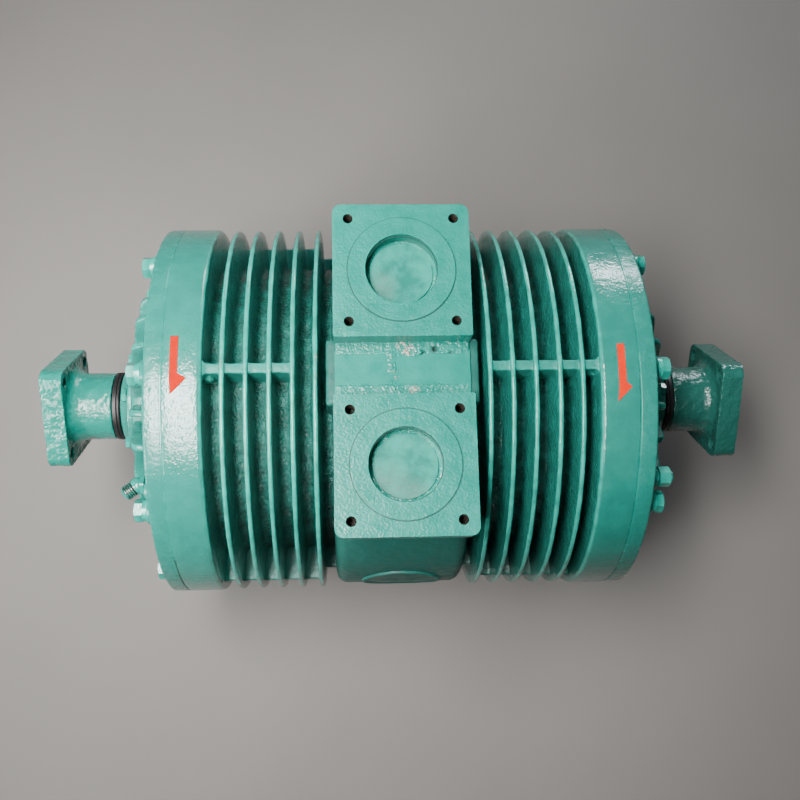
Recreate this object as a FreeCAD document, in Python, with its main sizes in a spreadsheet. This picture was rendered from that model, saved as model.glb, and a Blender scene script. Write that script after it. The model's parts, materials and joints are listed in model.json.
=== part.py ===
# Air-cooled rotary vane pump for a suction tanker: a finned cast casing with an
# eccentric rotor, four sliding vanes, two end covers with roller bearings, and a
# square drive flange on each end of the through shaft.
# Row frame: X along the shaft, Z up, origin on the feet plane under the casing's
# middle. Parts of one end are drawn for the right-hand end, X outwards, and the
# left-hand ones are turned half a turn about Z. Lengths are millimetres.
import FreeCAD, Part
import math
import os
import Sketcher

V = FreeCAD.Vector
doc = FreeCAD.newDocument("vane_pump")

# ---------------------------------------------------------------- driving sizes
SIZES = [
    ("axis_height", 240.0), ("bore_radius", 150.0), ("eccentricity", 30.0),
    ("half_length", 242.5), ("ring_radius", 216.0), ("ring_inner", 202.6),
    ("groove_radius", 168.0), ("fin_radius", 214.6), ("fin_rim", 5.4), ("fin_root", 9.5),
    ("fin_left_a", 182.6), ("fin_left_b", 158.9), ("fin_left_c", 135.4),
    ("fin_left_d", 111.8), ("fin_left_e", 88.8),
    ("fin_right_a", 89.2), ("fin_right_b", 112.7), ("fin_right_c", 136.4),
    ("fin_right_d", 161.0), ("fin_right_e", 184.4),
    ("drum_half", 72.0), ("drum_radius", 211.0), ("drum_shoulder", 15.0),
    ("web_radius", 211.0), ("web_width", 11.0), ("side_web_radius", 207.0),
    ("flange_top", 236.0), ("flange_side", 140.0), ("flange_depth", 26.0),
    ("inlet_y", 94.7), ("outlet_y", 103.9), ("face_radius", 54.5), ("face_rise", 1.8),
    ("port_radius", 36.8), ("port_seat", 18.0), ("port_throat", 30.0),
    ("port_pitch_x", 108.0), ("port_pitch_y", 109.0), ("port_hole", 5.15),
    ("port_hole_depth", 24.0), ("blank_radius", 32.4), ("blank_thick", 3.0),
    ("foot_inner", 165.0), ("foot_y_in", 102.0), ("foot_y_out", 190.0),
    ("foot_thick", 18.0), ("foot_hole", 9.0), ("foot_hole_x", 184.0), ("foot_hole_y", 162.0),
    ("gasket", 0.5), ("cover_thick", 18.0), ("bolt_circle", 190.0), ("bolt_radius", 7.0),
    ("bolt_hole", 7.4), ("pad_radius", 14.5), ("pad_rise", 5.6),
    ("hub_radius", 70.0), ("hub_face", 298.0), ("rib_width", 7.5), ("rib_tip", 140.0),
    ("rib_tip_x", 284.0), ("bearing_bore", 45.0), ("bearing_seat", 270.0),
    ("bearing_width", 23.0), ("bearing_shaft", 25.0), ("shaft_seal_radius", 27.5),
    ("shaft_body_radius", 30.0), ("rotor_radius", 119.85), ("rotor_half", 242.2),
    ("slot_offset", 35.0), ("slot_width", 8.4), ("slot_bottom", 24.6),
    ("vane_width", 8.0), ("vane_top", 113.0), ("vane_bottom", 27.0), ("vane_half", 242.0),
    ("vane_phase", -27.8),
    ("cap_flange", 64.0), ("cap_outer", 306.0), ("cap_end", 317.6), ("cap_bolt_circle", 56.0),
    ("coupling_hub", 40.0), ("coupling_start", 327.0), ("coupling_plate", 374.0),
    ("coupling_face", 400.0), ("coupling_half_side", 58.0), ("coupling_hole", 5.5),
    ("coupling_pitch", 60.0), ("shaft_end_radius", 24.0), ("shaft_end", 384.0),
    ("oil_y", 110.0), ("oil_z", 152.0),
    ("coupling_turn_right", 30.2), ("coupling_turn_left", -30.2),
    ("roller_pitch", 35.25), ("roller_radius", 5.2), ("roller_half", 6.0),
    ("arrow_thick", 0.6),
]
sheet = doc.addObject("Spreadsheet::Sheet", "Sizes")
VALUE = {}
for row, (alias, value) in enumerate(SIZES, start=1):
    sheet.set("A%d" % row, alias)
    sheet.set("B%d" % row, "%s" % value)
    sheet.setAlias("B%d" % row, alias)
    VALUE[alias] = value
doc.recompute()


class Dim:
    """A length with the sheet expression it comes from."""

    def __init__(self, value, text):
        self.value = value
        self.text = text

    def __add__(self, other):
        other = dim(other)
        return Dim(self.value + other.value, "(%s + %s)" % (self.text, other.text))

    __radd__ = __add__

    def __sub__(self, other):
        other = dim(other)
        return Dim(self.value - other.value, "(%s - %s)" % (self.text, other.text))

    def __rsub__(self, other):
        return dim(other) - self

    def __mul__(self, other):
        other = dim(other)
        return Dim(self.value * other.value, "(%s * %s)" % (self.text, other.text))

    __rmul__ = __mul__

    def __truediv__(self, other):
        other = dim(other)
        return Dim(self.value / other.value, "(%s / %s)" % (self.text, other.text))

    def __neg__(self):
        return Dim(-self.value, "(0 - %s)" % self.text)


def dim(value):
    return value if isinstance(value, Dim) else Dim(float(value), repr(float(value)))


def S(alias):
    return Dim(VALUE[alias], "Sizes.%s" % alias)


def bind(obj, path, value):
    """Set a property from the sheet."""
    obj.setExpression(path, dim(value).text)


# ---------------------------------------------------------------- body helpers
def new_body(label, z=None, left=False, turn=0.0):
    """A body whose X points out of its own end of the pump; z is its axis height."""
    body = doc.addObject("PartDesign::Body", label)
    body.Label = label
    rotation = FreeCAD.Rotation(V(0, 0, 1), 180) if left else FreeCAD.Rotation()
    rotation = rotation.multiply(FreeCAD.Rotation(V(1, 0, 0), dim(turn).value))
    height = S("axis_height") if z is None else z
    body.Placement = FreeCAD.Placement(V(0, 0, height.value), rotation)
    bind(body, "Placement.Base.z", height)
    return body


def axis_z():
    return S("axis_height") + S("eccentricity")


def origin(body, role):
    for feature in body.Origin.OriginFeatures:
        if feature.Role == role:
            return feature


def new_sketch(body, plane, name, offset=None):
    sketch = body.newObject("Sketcher::SketchObject", body.Label + "_" + name)
    sketch.AttachmentSupport = [(origin(body, plane), "")]
    sketch.MapMode = "FlatFace"
    if offset is not None:
        offset = dim(offset)
        sketch.AttachmentOffset = FreeCAD.Placement(V(0, 0, offset.value), FreeCAD.Rotation())
        bind(sketch, "AttachmentOffset.Base.z", offset)
    return sketch


def pin_point(sketch, geo, pos, x, y):
    for value, kind, axis in ((dim(x), "DistanceX", -2), (dim(y), "DistanceY", -1)):
        if abs(value.value) < 1e-9:
            sketch.addConstraint(Sketcher.Constraint("PointOnObject", geo, pos, axis))
        else:
            index = sketch.addConstraint(
                Sketcher.Constraint(kind, -1, 1, geo, pos, value.value))
            if "Sizes" in value.text:
                sketch.setExpression("Constraints[%d]" % index, value.text)


def polygon(sketch, points):
    points = [(dim(x), dim(y)) for x, y in points]
    first = sketch.GeometryCount
    count = len(points)
    for i in range(count):
        a, b = points[i], points[(i + 1) % count]
        sketch.addGeometry(Part.LineSegment(V(a[0].value, a[1].value, 0),
                                            V(b[0].value, b[1].value, 0)))
    for i in range(count):
        sketch.addConstraint(Sketcher.Constraint(
            "Coincident", first + i, 2, first + (i + 1) % count, 1))
    for i, (x, y) in enumerate(points):
        pin_point(sketch, first + i, 1, x, y)


def rectangle(sketch, x0, y0, x1, y1):
    polygon(sketch, [(x0, y0), (x1, y0), (x1, y1), (x0, y1)])


def circle(sketch, x, y, r):
    x, y, r = dim(x), dim(y), dim(r)
    geo = sketch.addGeometry(Part.Circle(V(x.value, y.value, 0), V(0, 0, 1), r.value))
    pin_point(sketch, geo, 3, x, y)
    index = sketch.addConstraint(Sketcher.Constraint("Radius", geo, r.value))
    if "Sizes" in r.text:
        sketch.setExpression("Constraints[%d]" % index, r.text)


def symmetric(feature):
    if "SideType" in feature.PropertiesList:
        feature.SideType = "Symmetric"
    else:
        feature.Midplane = True


def pad(body, sketch, length, both=False, reverse=False):
    feature = body.newObject("PartDesign::Pad", sketch.Name + "_pad")
    feature.Profile = sketch
    feature.Length = dim(length).value
    bind(feature, "Length", length)
    if both:
        symmetric(feature)
    feature.Reversed = reverse
    feature.Refine = False
    return feature


def pocket(body, sketch, length, both=False, reverse=False):
    feature = body.newObject("PartDesign::Pocket", sketch.Name + "_pocket")
    feature.Profile = sketch
    feature.Length = dim(length).value
    bind(feature, "Length", length)
    if both:
        symmetric(feature)
    feature.Reversed = reverse
    feature.Refine = False
    return feature


def revolve(body, sketch, cut=False):
    kind = "PartDesign::Groove" if cut else "PartDesign::Revolution"
    feature = body.newObject(kind, sketch.Name + ("_groove" if cut else "_turned"))
    feature.Profile = sketch
    feature.ReferenceAxis = (sketch, ["H_Axis"])
    feature.Angle = 360.0
    return feature


def polar(body, feature, count, role="X_Axis"):
    pattern = body.newObject("PartDesign::PolarPattern", feature.Name + "_ring")
    pattern.Originals = [feature]
    pattern.Axis = (origin(body, role), [""])
    pattern.Angle = 360.0
    pattern.Occurrences = count
    body.Tip = pattern
    return pattern


def round_edges(body, feature, wanted, radius):
    """Fillet the edges of feature that the test picks out."""
    doc.recompute()
    names = ["Edge%d" % (i + 1) for i, edge in enumerate(feature.Shape.Edges) if wanted(edge)]
    fillet = body.newObject("PartDesign::Fillet", feature.Name + "_round")
    fillet.Base = (feature, names)
    fillet.Radius = dim(radius).value
    bind(fillet, "Radius", radius)
    return fillet


def is_circle(edge, x, r, tol=0.05):
    curve = edge.Curve
    return (curve.TypeId == "Part::GeomCircle" and abs(curve.Radius - r) < tol
            and abs(abs(curve.Center.x) - x) < tol)


def turned(label, points, left=False, z=None, turn=0.0):
    """A piece of revolution about the X axis of its own frame."""
    body = new_body(label, axis_z() if z is None else z, left, turn)
    sketch = new_sketch(body, "XZ_Plane", "profile")
    polygon(sketch, points)
    revolve(body, sketch)
    return body


EIGHT = [(math.cos(math.radians(a)), math.sin(math.radians(a))) for a in range(0, 360, 45)]

# ---------------------------------------------------------------- finned casing
casing = new_body("casing")
L, RG, RT = S("half_length"), S("groove_radius"), S("fin_radius")
RR, RI = S("ring_radius"), S("ring_inner")
profile = [(-L, 0), (-L, RR), (-RI, RR), (-RI + 2.0, RG)]


def fin(x):
    return [(x - S("fin_root") / 2, RG), (x - S("fin_rim") / 2, RT),
            (x + S("fin_rim") / 2, RT), (x + S("fin_root") / 2, RG)]


for name in ("fin_left_a", "fin_left_b", "fin_left_c", "fin_left_d", "fin_left_e"):
    profile += fin(-S(name))
DH, DR, DS = S("drum_half"), S("drum_radius"), S("drum_shoulder")
shoulder = [(0.0, 1.0), (0.134, 0.5), (0.5, 0.134), (1.0, 0.0)]
profile += [(-DH - 2.0, RG)]
profile += [(-DH + DS * dx, DR - DS * dy) for dx, dy in shoulder]
profile += [(DH - DS * dx, DR - DS * dy) for dx, dy in reversed(shoulder)]
profile += [(DH + 2.0, RG)]
for name in ("fin_right_a", "fin_right_b", "fin_right_c", "fin_right_d", "fin_right_e"):
    profile += fin(S(name))
profile += [(RI - 2.0, RG), (RI, RR), (L, RR), (L, 0)]
sk = new_sketch(casing, "XZ_Plane", "profile")
polygon(sk, profile)
f = revolve(casing, sk)

# Webs along X that tie the fins together: at the crest, at both sides, below.
WR, SR = S("web_radius"), S("side_web_radius")
sk = new_sketch(casing, "XZ_Plane", "crest_webs")
rectangle(sk, -RI - 2, RG - 6, -S("fin_left_d"), WR)
rectangle(sk, S("fin_right_a"), RG - 6, RI + 2, WR)
f = pad(casing, sk, S("web_width"), both=True)
sk = new_sketch(casing, "XZ_Plane", "belly_webs")
rectangle(sk, -RI - 2, -WR, -DH + 8, -RG + 6)
rectangle(sk, DH - 8, -WR, RI + 2, -RG + 6)
f = pad(casing, sk, S("web_width"), both=True)
for tag, s in (("back", 1), ("front", -1)):
    sk = new_sketch(casing, "XY_Plane", tag + "_webs")
    lo, hi = (RG - 6, SR) if s > 0 else (-SR, -RG + 6)
    rectangle(sk, -RI - 2, lo, -S("fin_left_e"), hi)
    rectangle(sk, S("fin_right_a"), lo, RI + 2, hi)
    lo, hi = (RG - 6, SR - 13) if s > 0 else (-SR + 13, -RG + 6)
    rectangle(sk, -S("fin_left_e"), lo, -DH + 4, hi)
    rectangle(sk, DH - 4, lo, S("fin_right_a"), hi)
    f = pad(casing, sk, S("web_width"), both=True)

# Port flanges: a square plate on a square neck that runs down into the drum.
HS = S("flange_side") / 2
for tag, yc, s in (("inlet", S("inlet_y"), 1), ("outlet", -S("outlet_y"), -1)):
    sk = new_sketch(casing, "XY_Plane", tag + "_plate", S("flange_top"))
    rectangle(sk, -HS, yc - HS, HS, yc + HS)
    f = pad(casing, sk, S("flange_depth"), reverse=True)
    corners = [(sx * VALUE["flange_side"] / 2, yc.value + s * VALUE["flange_side"] / 2)
               for sx in (-1, 1)]
    f = round_edges(casing, f, lambda e: len(e.Vertexes) == 2
                    and abs(e.Vertexes[0].Z - e.Vertexes[1].Z) > 20
                    and any(abs(e.Vertexes[0].X - cx) < 0.05 and abs(e.Vertexes[0].Y - cy) < 0.05
                            for cx, cy in corners), 9.0)
    sk = new_sketch(casing, "XY_Plane", tag + "_neck", S("flange_top") - S("flange_depth") / 2)
    if s > 0:
        rectangle(sk, -HS + 5, yc - HS, HS - 5, yc + HS - 9)
    else:
        rectangle(sk, -HS + 5, yc - HS + 9, HS - 5, yc + HS)
    f = pad(casing, sk, 120.0, reverse=True)
    sk = new_sketch(casing, "XY_Plane", tag + "_face", S("flange_top") - 1)
    circle(sk, 0, yc, S("face_radius"))
    f = pad(casing, sk, S("face_rise") + 1)

# Feet: a pad with a bolt hole, a block under the end ring and a gusset.
FX, FY = S("foot_inner"), S("foot_y_in")
FO, AH = S("foot_y_out"), S("axis_height")


def four_corners(sketch, x_lo, x_hi, y_lo, y_hi):
    for sx in (-1, 1):
        for sy in (-1, 1):
            x0, x1 = (x_lo, x_hi) if sx > 0 else (-x_hi, -x_lo)
            y0, y1 = (y_lo, y_hi) if sy > 0 else (-y_hi, -y_lo)
            rectangle(sketch, x0, y0, x1, y1)


sk = new_sketch(casing, "XY_Plane", "foot_pads", -AH)
four_corners(sk, FX, L - 1, FY, FO)
f = pad(casing, sk, S("foot_thick"))
sk = new_sketch(casing, "XY_Plane", "foot_blocks", -AH + 2)
four_corners(sk, RI + 1, L - 1, FY + 6, FO - 5)
f = pad(casing, sk, AH - 2 - 113.0)
sk = new_sketch(casing, "XY_Plane", "foot_gussets", -AH + 2)
four_corners(sk, FX + 3, L - 10, FY + 12, FY + 26)
f = pad(casing, sk, 80.0)

# Belly boss for the drain plug.
sk = new_sketch(casing, "XY_Plane", "drain_boss", -S("drum_radius") - 7)
circle(sk, 0, 0, 20.0)
f = pad(casing, sk, 30.0)

# Cylinder bore, ports, and every bolt hole.
sk = new_sketch(casing, "YZ_Plane", "bore")
circle(sk, 0, 0, S("bore_radius"))
f = pocket(casing, sk, 2 * L + 20, both=True)
for tag, yc in (("inlet", S("inlet_y")), ("outlet", -S("outlet_y"))):
    top = S("flange_top") + 5
    sk = new_sketch(casing, "XY_Plane", tag + "_port", top)
    circle(sk, 0, yc, S("port_radius"))
    f = pocket(casing, sk, S("port_seat") + 5)
    sk = new_sketch(casing, "XY_Plane", tag + "_throat", top)
    circle(sk, 0, yc, S("port_throat"))
    f = pocket(casing, sk, 150.0)
    sk = new_sketch(casing, "XY_Plane", tag + "_holes", top)
    for sx in (-1, 1):
        for sy in (-1, 1):
            circle(sk, sx * S("port_pitch_x") / 2, yc + sy * S("port_pitch_y") / 2, S("port_hole"))
    f = pocket(casing, sk, S("port_hole_depth") + 5)
for sx in (-1, 1):
    sk = new_sketch(casing, "YZ_Plane", "cover_bolts_%s" % ("right" if sx > 0 else "left"),
                    sx * (L + 5))
    for x, y in EIGHT:
        circle(sk, x * S("bolt_circle"), y * S("bolt_circle"), S("bolt_hole"))
    f = pocket(casing, sk, 41.0, reverse=sx < 0)
sk = new_sketch(casing, "XY_Plane", "foot_holes", -S("axis_height") + 60)
for sx in (-1, 1):
    for sy in (-1, 1):
        circle(sk, sx * S("foot_hole_x"), sy * S("foot_hole_y"), S("foot_hole"))
f = pocket(casing, sk, 80.0)
sk = new_sketch(casing, "XY_Plane", "drain_hole", -S("bore_radius") + 8)
circle(sk, 0, 0, 8.2)
f = pocket(casing, sk, 90.0)

# ---------------------------------------------------------------- parts of each end
E = S("eccentricity")
CT = S("half_length") + S("gasket")            # inner face of the cover
CF = CT + S("cover_thick")                     # outer face of the cover plate
BS, BW = S("bearing_seat"), S("bearing_width")
HF = S("hub_face")


def hex_points(across_flats, turn=0.0):
    """Corners of a hexagon about the origin, in the YZ plane."""
    radius = across_flats / math.sqrt(3.0)
    return [(radius * math.cos(math.radians(a + turn)), radius * math.sin(math.radians(a + turn)))
            for a in range(0, 360, 60)]


def hex_prism(across_flats, x0, x1, turn=0.0, chamfer=True):
    """A hexagon bar along X with the outer end turned to a cone, as a plain shape."""
    pts = [V(x0, y, z) for y, z in hex_points(across_flats, turn)]
    shape = Part.Face(Part.makePolygon(pts + [pts[0]])).extrude(V(x1 - x0, 0, 0))
    if chamfer:
        radius = across_flats / 2.0 * 0.97
        grow = abs(x1 - x0)
        cone = Part.makeCone(radius + grow * 1.75, radius, grow, V(x0, 0, 0), V(1, 0, 0))
        shape = shape.common(cone)
    return shape


def ring_of(shape, radius, angles, y0=0.0, z0=0.0):
    """Copies of a shape drawn on the X axis, moved out to a circle about X."""
    out = []
    for a in angles:
        copy = shape.copy()
        copy.translate(V(0, y0 + radius * math.cos(math.radians(a)),
                         z0 + radius * math.sin(math.radians(a))))
        out.append(copy)
    return Part.Compound(out)


def feature(label, shape, left=False, z=0.0):
    """A piece whose shape is set directly, placed after it."""
    obj = doc.addObject("Part::Feature", label)
    obj.Label = label
    obj.Shape = Part.Compound(shape.Solids)
    rotation = FreeCAD.Rotation(V(0, 0, 1), 180) if left else FreeCAD.Rotation()
    obj.Placement = FreeCAD.Placement(V(0, 0, VALUE["axis_height"] + z), rotation)
    return obj


COVER_BOLTS = [0, 45, 90, 135, 180, 225, 270, 315]
CAP_BOLTS = [30, 90, 150, 210, 270, 330]
P = VALUE

for side, left in (("left", True), ("right", False)):
    front = 1 if left else -1                  # the pump's front side in this end's own frame

    # Gasket between cover and casing.
    body = new_body(side + "_cover_gasket", left=left)
    sk = new_sketch(body, "YZ_Plane", "ring", S("half_length"))
    circle(sk, 0, 0, S("ring_radius") - 1.0)
    circle(sk, 0, 0, S("bore_radius"))
    for x, y in EIGHT:
        circle(sk, x * S("bolt_circle"), y * S("bolt_circle"), S("bolt_hole"))
    pad(body, sk, S("gasket"))

    # End cover: plate, bearing hub, ribs, bolt seats, stepped bore.
    cover = new_body(side + "_end_cover", left=left)
    sk = new_sketch(cover, "YZ_Plane", "plate", CT)
    circle(sk, 0, 0, S("ring_radius"))
    pad(cover, sk, S("cover_thick"))
    hub = new_sketch(cover, "XZ_Plane", "hub")
    polygon(hub, [(CT + 2, E), (CF, E + S("hub_radius") + 9), (CF + 9, E + S("hub_radius") + 2),
                  (HF - 2, E + S("hub_radius")), (HF, E + S("hub_radius") - 2), (HF, E)])
    line = hub.addGeometry(Part.LineSegment(V(CT.value, P["eccentricity"], 0),
                                            V(HF.value + 30, P["eccentricity"], 0)), True)
    pin_point(hub, line, 1, CT, E)
    pin_point(hub, line, 2, HF + 30, E)
    f = cover.newObject("PartDesign::Revolution", side + "_hub_turned")
    f.Profile = hub
    f.ReferenceAxis = (hub, ["Axis0"])
    f.Angle = 360.0
    f.Refine = False
    # Ribs run out from the hub every 15 degrees and slope down to a blunt tip.
    sk = new_sketch(cover, "XZ_Plane", "rib")
    polygon(sk, [(CF - 2, E + 60), (HF - 3, E + 60), (HF - 3, E + 72),
                 (S("rib_tip_x") + 1.0, E + S("rib_tip") - 8), (S("rib_tip_x") - 1.5, E + S("rib_tip")),
                 (S("rib_tip_x") - 8, E + S("rib_tip") + 4), (CF - 2, E + S("rib_tip") + 6)])
    f = pad(cover, sk, S("rib_width"), both=True)
    pattern = cover.newObject("PartDesign::PolarPattern", side + "_ribs")
    pattern.Originals = [f]
    pattern.Axis = (hub, ["Axis0"])
    pattern.Angle = 360.0
    pattern.Occurrences = 24
    pattern.Refine = False
    cover.Tip = pattern
    sk = new_sketch(cover, "YZ_Plane", "seats", CF - 1)
    for x, y in EIGHT:
        circle(sk, x * S("bolt_circle"), y * S("bolt_circle"), S("pad_radius"))
    pad(cover, sk, S("pad_rise") + 1)
    sk = new_sketch(cover, "YZ_Plane", "oil_boss", CF - 1)
    circle(sk, front * S("oil_y"), S("oil_z"), 11.0)
    pad(cover, sk, 7.0)
    sk = new_sketch(cover, "YZ_Plane", "bolt_holes", CF + 20)
    for x, y in EIGHT:
        circle(sk, x * S("bolt_circle"), y * S("bolt_circle"), S("bolt_hole"))
    pocket(cover, sk, 60.0)
    sk = new_sketch(cover, "YZ_Plane", "shaft_bore", HF + 5)
    circle(sk, 0, E, S("shaft_seal_radius") + 0.5)
    pocket(cover, sk, 80.0)
    sk = new_sketch(cover, "YZ_Plane", "seal_bore", CT + 18)
    circle(sk, 0, E, 37.5)
    pocket(cover, sk, 9.0)
    sk = new_sketch(cover, "YZ_Plane", "relief_bore", BS + 1)
    circle(sk, 0, E, 34.0)
    pocket(cover, sk, BS + 1 - CT - 17)
    sk = new_sketch(cover, "YZ_Plane", "bearing_bore", HF + 5)
    circle(sk, 0, E, S("bearing_bore"))
    pocket(cover, sk, HF + 5 - BS)
    sk = new_sketch(cover, "YZ_Plane", "cap_holes", HF + 5)
    for a in CAP_BOLTS:
        circle(sk, S("cap_bolt_circle") * math.cos(math.radians(a)),
               E + S("cap_bolt_circle") * math.sin(math.radians(a)), 4.2)
    pocket(cover, sk, 27.0)
    sk = new_sketch(cover, "YZ_Plane", "oil_hole", CF + 10)
    circle(sk, front * S("oil_y"), S("oil_z"), 6.2)
    pocket(cover, sk, 22.0)

    # Bolts, washers and dowels of the cover.
    shank = Part.makeCylinder(P["bolt_radius"], 62.0, V(211.0, 0, 0), V(1, 0, 0))
    seat = CF.value + P["pad_rise"]
    head = hex_prism(21.0, seat + 5.6, seat + 14.2)
    bolt = shank.fuse(head)
    feature(side + "_cover_bolts", ring_of(bolt, P["bolt_circle"], COVER_BOLTS), left)
    flat = Part.makeCylinder(12.4, 2.5, V(seat, 0, 0), V(1, 0, 0)).cut(
        Part.makeCylinder(P["bolt_hole"], 9, V(seat - 2, 0, 0), V(1, 0, 0)))
    feature(side + "_flat_washers", ring_of(flat, P["bolt_circle"], COVER_BOLTS), left)
    spring = Part.makeCylinder(11.4, 3.1, V(seat + 2.5, 0, 0), V(1, 0, 0)).cut(
        Part.makeCylinder(P["bolt_hole"], 9, V(seat, 0, 0), V(1, 0, 0)))
    slit = Part.makeBox(12, 30, 1.2, V(seat + 1, 0, -0.6))
    feature(side + "_spring_washers",
            ring_of(spring.cut(slit), P["bolt_circle"], COVER_BOLTS), left)

    # Bearing cap, its gasket and screws.
    cap = turned(side + "_bearing_cap", [
        (BS + BW + 0.3, 36.0), (HF + 18.0, 36.0), (HF + 18.0, 26.2), (S("cap_end"), 26.2),
        (S("cap_end"), 41.0), (S("cap_end") - 1.6, 42.6), (HF + 13.5, 46.0), (HF + 10.0, 50.0),
        (S("cap_outer") - 1.0, S("cap_flange") - 0.5), (S("cap_outer") - 2.2, S("cap_flange")),
        (HF + S("gasket"), S("cap_flange")), (HF + S("gasket"), S("bearing_bore") - 0.2),
        (BS + BW + 0.3, S("bearing_bore") - 0.2)], left)
    sk = new_sketch(cap, "YZ_Plane", "screw_holes", HF + 15)
    for a in CAP_BOLTS:
        circle(sk, S("cap_bolt_circle") * math.cos(math.radians(a)),
               S("cap_bolt_circle") * math.sin(math.radians(a)), 4.5)
    pocket(cap, sk, 30.0)
    sk = new_sketch(cap, "YZ_Plane", "screw_seats", HF + 20)
    for a in CAP_BOLTS:
        circle(sk, S("cap_bolt_circle") * math.cos(math.radians(a)),
               S("cap_bolt_circle") * math.sin(math.radians(a)), 8.0)
    pocket(cap, sk, 20.0 - 7.5)
    body = new_body(side + "_cap_gasket", axis_z(), left)
    sk = new_sketch(body, "YZ_Plane", "ring", HF)
    circle(sk, 0, 0, S("cap_flange") - 0.5)
    circle(sk, 0, 0, S("bearing_bore"))
    for a in CAP_BOLTS:
        circle(sk, S("cap_bolt_circle") * math.cos(math.radians(a)),
               S("cap_bolt_circle") * math.sin(math.radians(a)), 4.5)
    pad(body, sk, S("gasket"))
    screw = Part.makeCylinder(4.0, 28.0, V(HF.value - 20, 0, 0), V(1, 0, 0)).fuse(
        hex_prism(13.0, HF.value + 7.5, HF.value + 12.8, 30.0))
    feature(side + "_cap_screws", ring_of(screw, P["cap_bolt_circle"], CAP_BOLTS), left,
            P["eccentricity"])

    # Roller bearing: two races, a set of rollers and their cage.
    BC = BS + BW / 2
    turned(side + "_outer_race", [
        (BS, 38.2), (BS + 3.6, 38.2), (BS + 3.6, 40.75), (BS + BW - 3.6, 40.75),
        (BS + BW - 3.6, 38.2), (BS + BW, 38.2), (BS + BW, S("bearing_bore") - 0.8),
        (BS + BW - 0.8, S("bearing_bore")), (BS + 0.8, S("bearing_bore")),
        (BS, S("bearing_bore") - 0.8)], left)
    turned(side + "_inner_race", [
        (BS, S("bearing_shaft") + 0.8), (BS + 0.8, S("bearing_shaft")),
        (BS + BW - 0.8, S("bearing_shaft")), (BS + BW, S("bearing_shaft") + 0.8),
        (BS + BW, 29.75), (BS, 29.75)], left)
    roller = Part.makeCylinder(P["roller_radius"], 2 * P["roller_half"],
                               V(BC.value - P["roller_half"], 0, 0), V(1, 0, 0))
    roller = roller.makeChamfer(0.5, roller.Edges[:1] + roller.Edges[2:3])
    angles = [22.5 * k for k in range(16)]
    feature(side + "_rollers", ring_of(roller, P["roller_pitch"], angles), left, P["eccentricity"])
    cage = new_body(side + "_roller_cage", axis_z(), left)
    sk = new_sketch(cage, "YZ_Plane", "ring", BC)
    circle(sk, 0, 0, 37.1)
    circle(sk, 0, 0, 33.3)
    pad(cage, sk, S("bearing_width") - 2.0, both=True)
    sk = new_sketch(cage, "YZ_Plane", "pocket", BC)
    circle(sk, 0, S("roller_pitch"), S("roller_radius") + 0.25)
    f = pocket(cage, sk, 2 * S("roller_half") + 0.6, both=True)
    polar(cage, f, 16)

    # Shaft seals: the inner one in the cover, the outer one in the cap.
    turned(side + "_inner_seal", [
        (CT + 9.4, 27.8), (CT + 11.5, 28.3), (CT + 11.5, 34.0), (CT + 15.5, 34.0),
        (CT + 15.5, 37.5), (CT + 9.2, 37.5)], left)
    turned(side + "_outer_seal", [
        (HF + 9.5, 25.3), (HF + 11.5, 26.0), (HF + 11.5, 33.0), (HF + 17.8, 33.0),
        (HF + 17.8, 36.0), (HF + 9.0, 36.0), (HF + 9.0, 25.8)], left)
    turned(side + "_shaft_ring", [
        (S("coupling_start") - 8.4, 37.5), (S("coupling_start") - 7.4, 39.2),
        (S("coupling_start") - 5.6, 39.6), (S("coupling_start") - 4.8, 38.4),
        (S("coupling_start") - 4.2, 39.6), (S("coupling_start") - 0.6, 39.6),
        (S("coupling_start"), 39.0), (S("coupling_start"), 30.0),
        (S("coupling_start") - 8.4, 30.0)], left)

    # Drive flange with key, end washer and end bolt.
    turn = S("coupling_turn_left") if left else S("coupling_turn_right")
    flange = new_body(side + "_drive_flange", axis_z(), left, turn)
    CS, CP, CE = S("coupling_start"), S("coupling_plate"), S("coupling_face")
    sk = new_sketch(flange, "YZ_Plane", "plate", CP)
    SQ = S("coupling_half_side")
    rectangle(sk, -SQ, -SQ, SQ, SQ)
    f = pad(flange, sk, CE - CP)
    f = round_edges(flange, f, lambda e: len(e.Vertexes) == 2
                    and abs(e.Vertexes[0].X - e.Vertexes[1].X) > 20, 15.0)
    sk = new_sketch(flange, "XZ_Plane", "hub")
    CH = S("coupling_hub")
    polygon(sk, [(CS - 8.0, 0), (CS - 8.0, 30.0), (CS, 30.0), (CS, CH - 1.5), (CS + 1.5, CH),
                 (CP - 11, CH), (CP - 4.5, CH + 2.2), (CP - 1.0, CH + 6.5), (CP + 1.0, CH + 12),
                 (CP + 1.0, 0)])
    revolve(flange, sk).Refine = False
    sk = new_sketch(flange, "XZ_Plane", "bore")
    SE = S("shaft_end_radius")
    polygon(sk, [(CS - 20, 0), (CS - 20, SE), (CE - 14, SE), (CE - 14, 32.0), (CE + 5, 32.0),
                 (CE + 5, 0)])
    revolve(flange, sk, cut=True).Refine = False
    sk = new_sketch(flange, "YZ_Plane", "holes", CE + 5)
    for a in (45, 135, 225, 315):
        circle(sk, S("coupling_pitch") * math.cos(math.radians(a)),
               S("coupling_pitch") * math.sin(math.radians(a)), S("coupling_hole"))
    pocket(flange, sk, 50.0)
    sk = new_sketch(flange, "XY_Plane", "keyway", SE - 6)
    rectangle(sk, CS - 20, -7.0, CE - 14, 7.0)
    pocket(flange, sk, 9.8, reverse=True)
    key = new_body(side + "_flange_key", axis_z(), left, turn)
    sk = new_sketch(key, "XY_Plane", "outline", SE - 5.5)
    rectangle(sk, CS + 3, -6.98, S("shaft_end") - 3, 6.98)
    pad(key, sk, 9.0)
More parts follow.
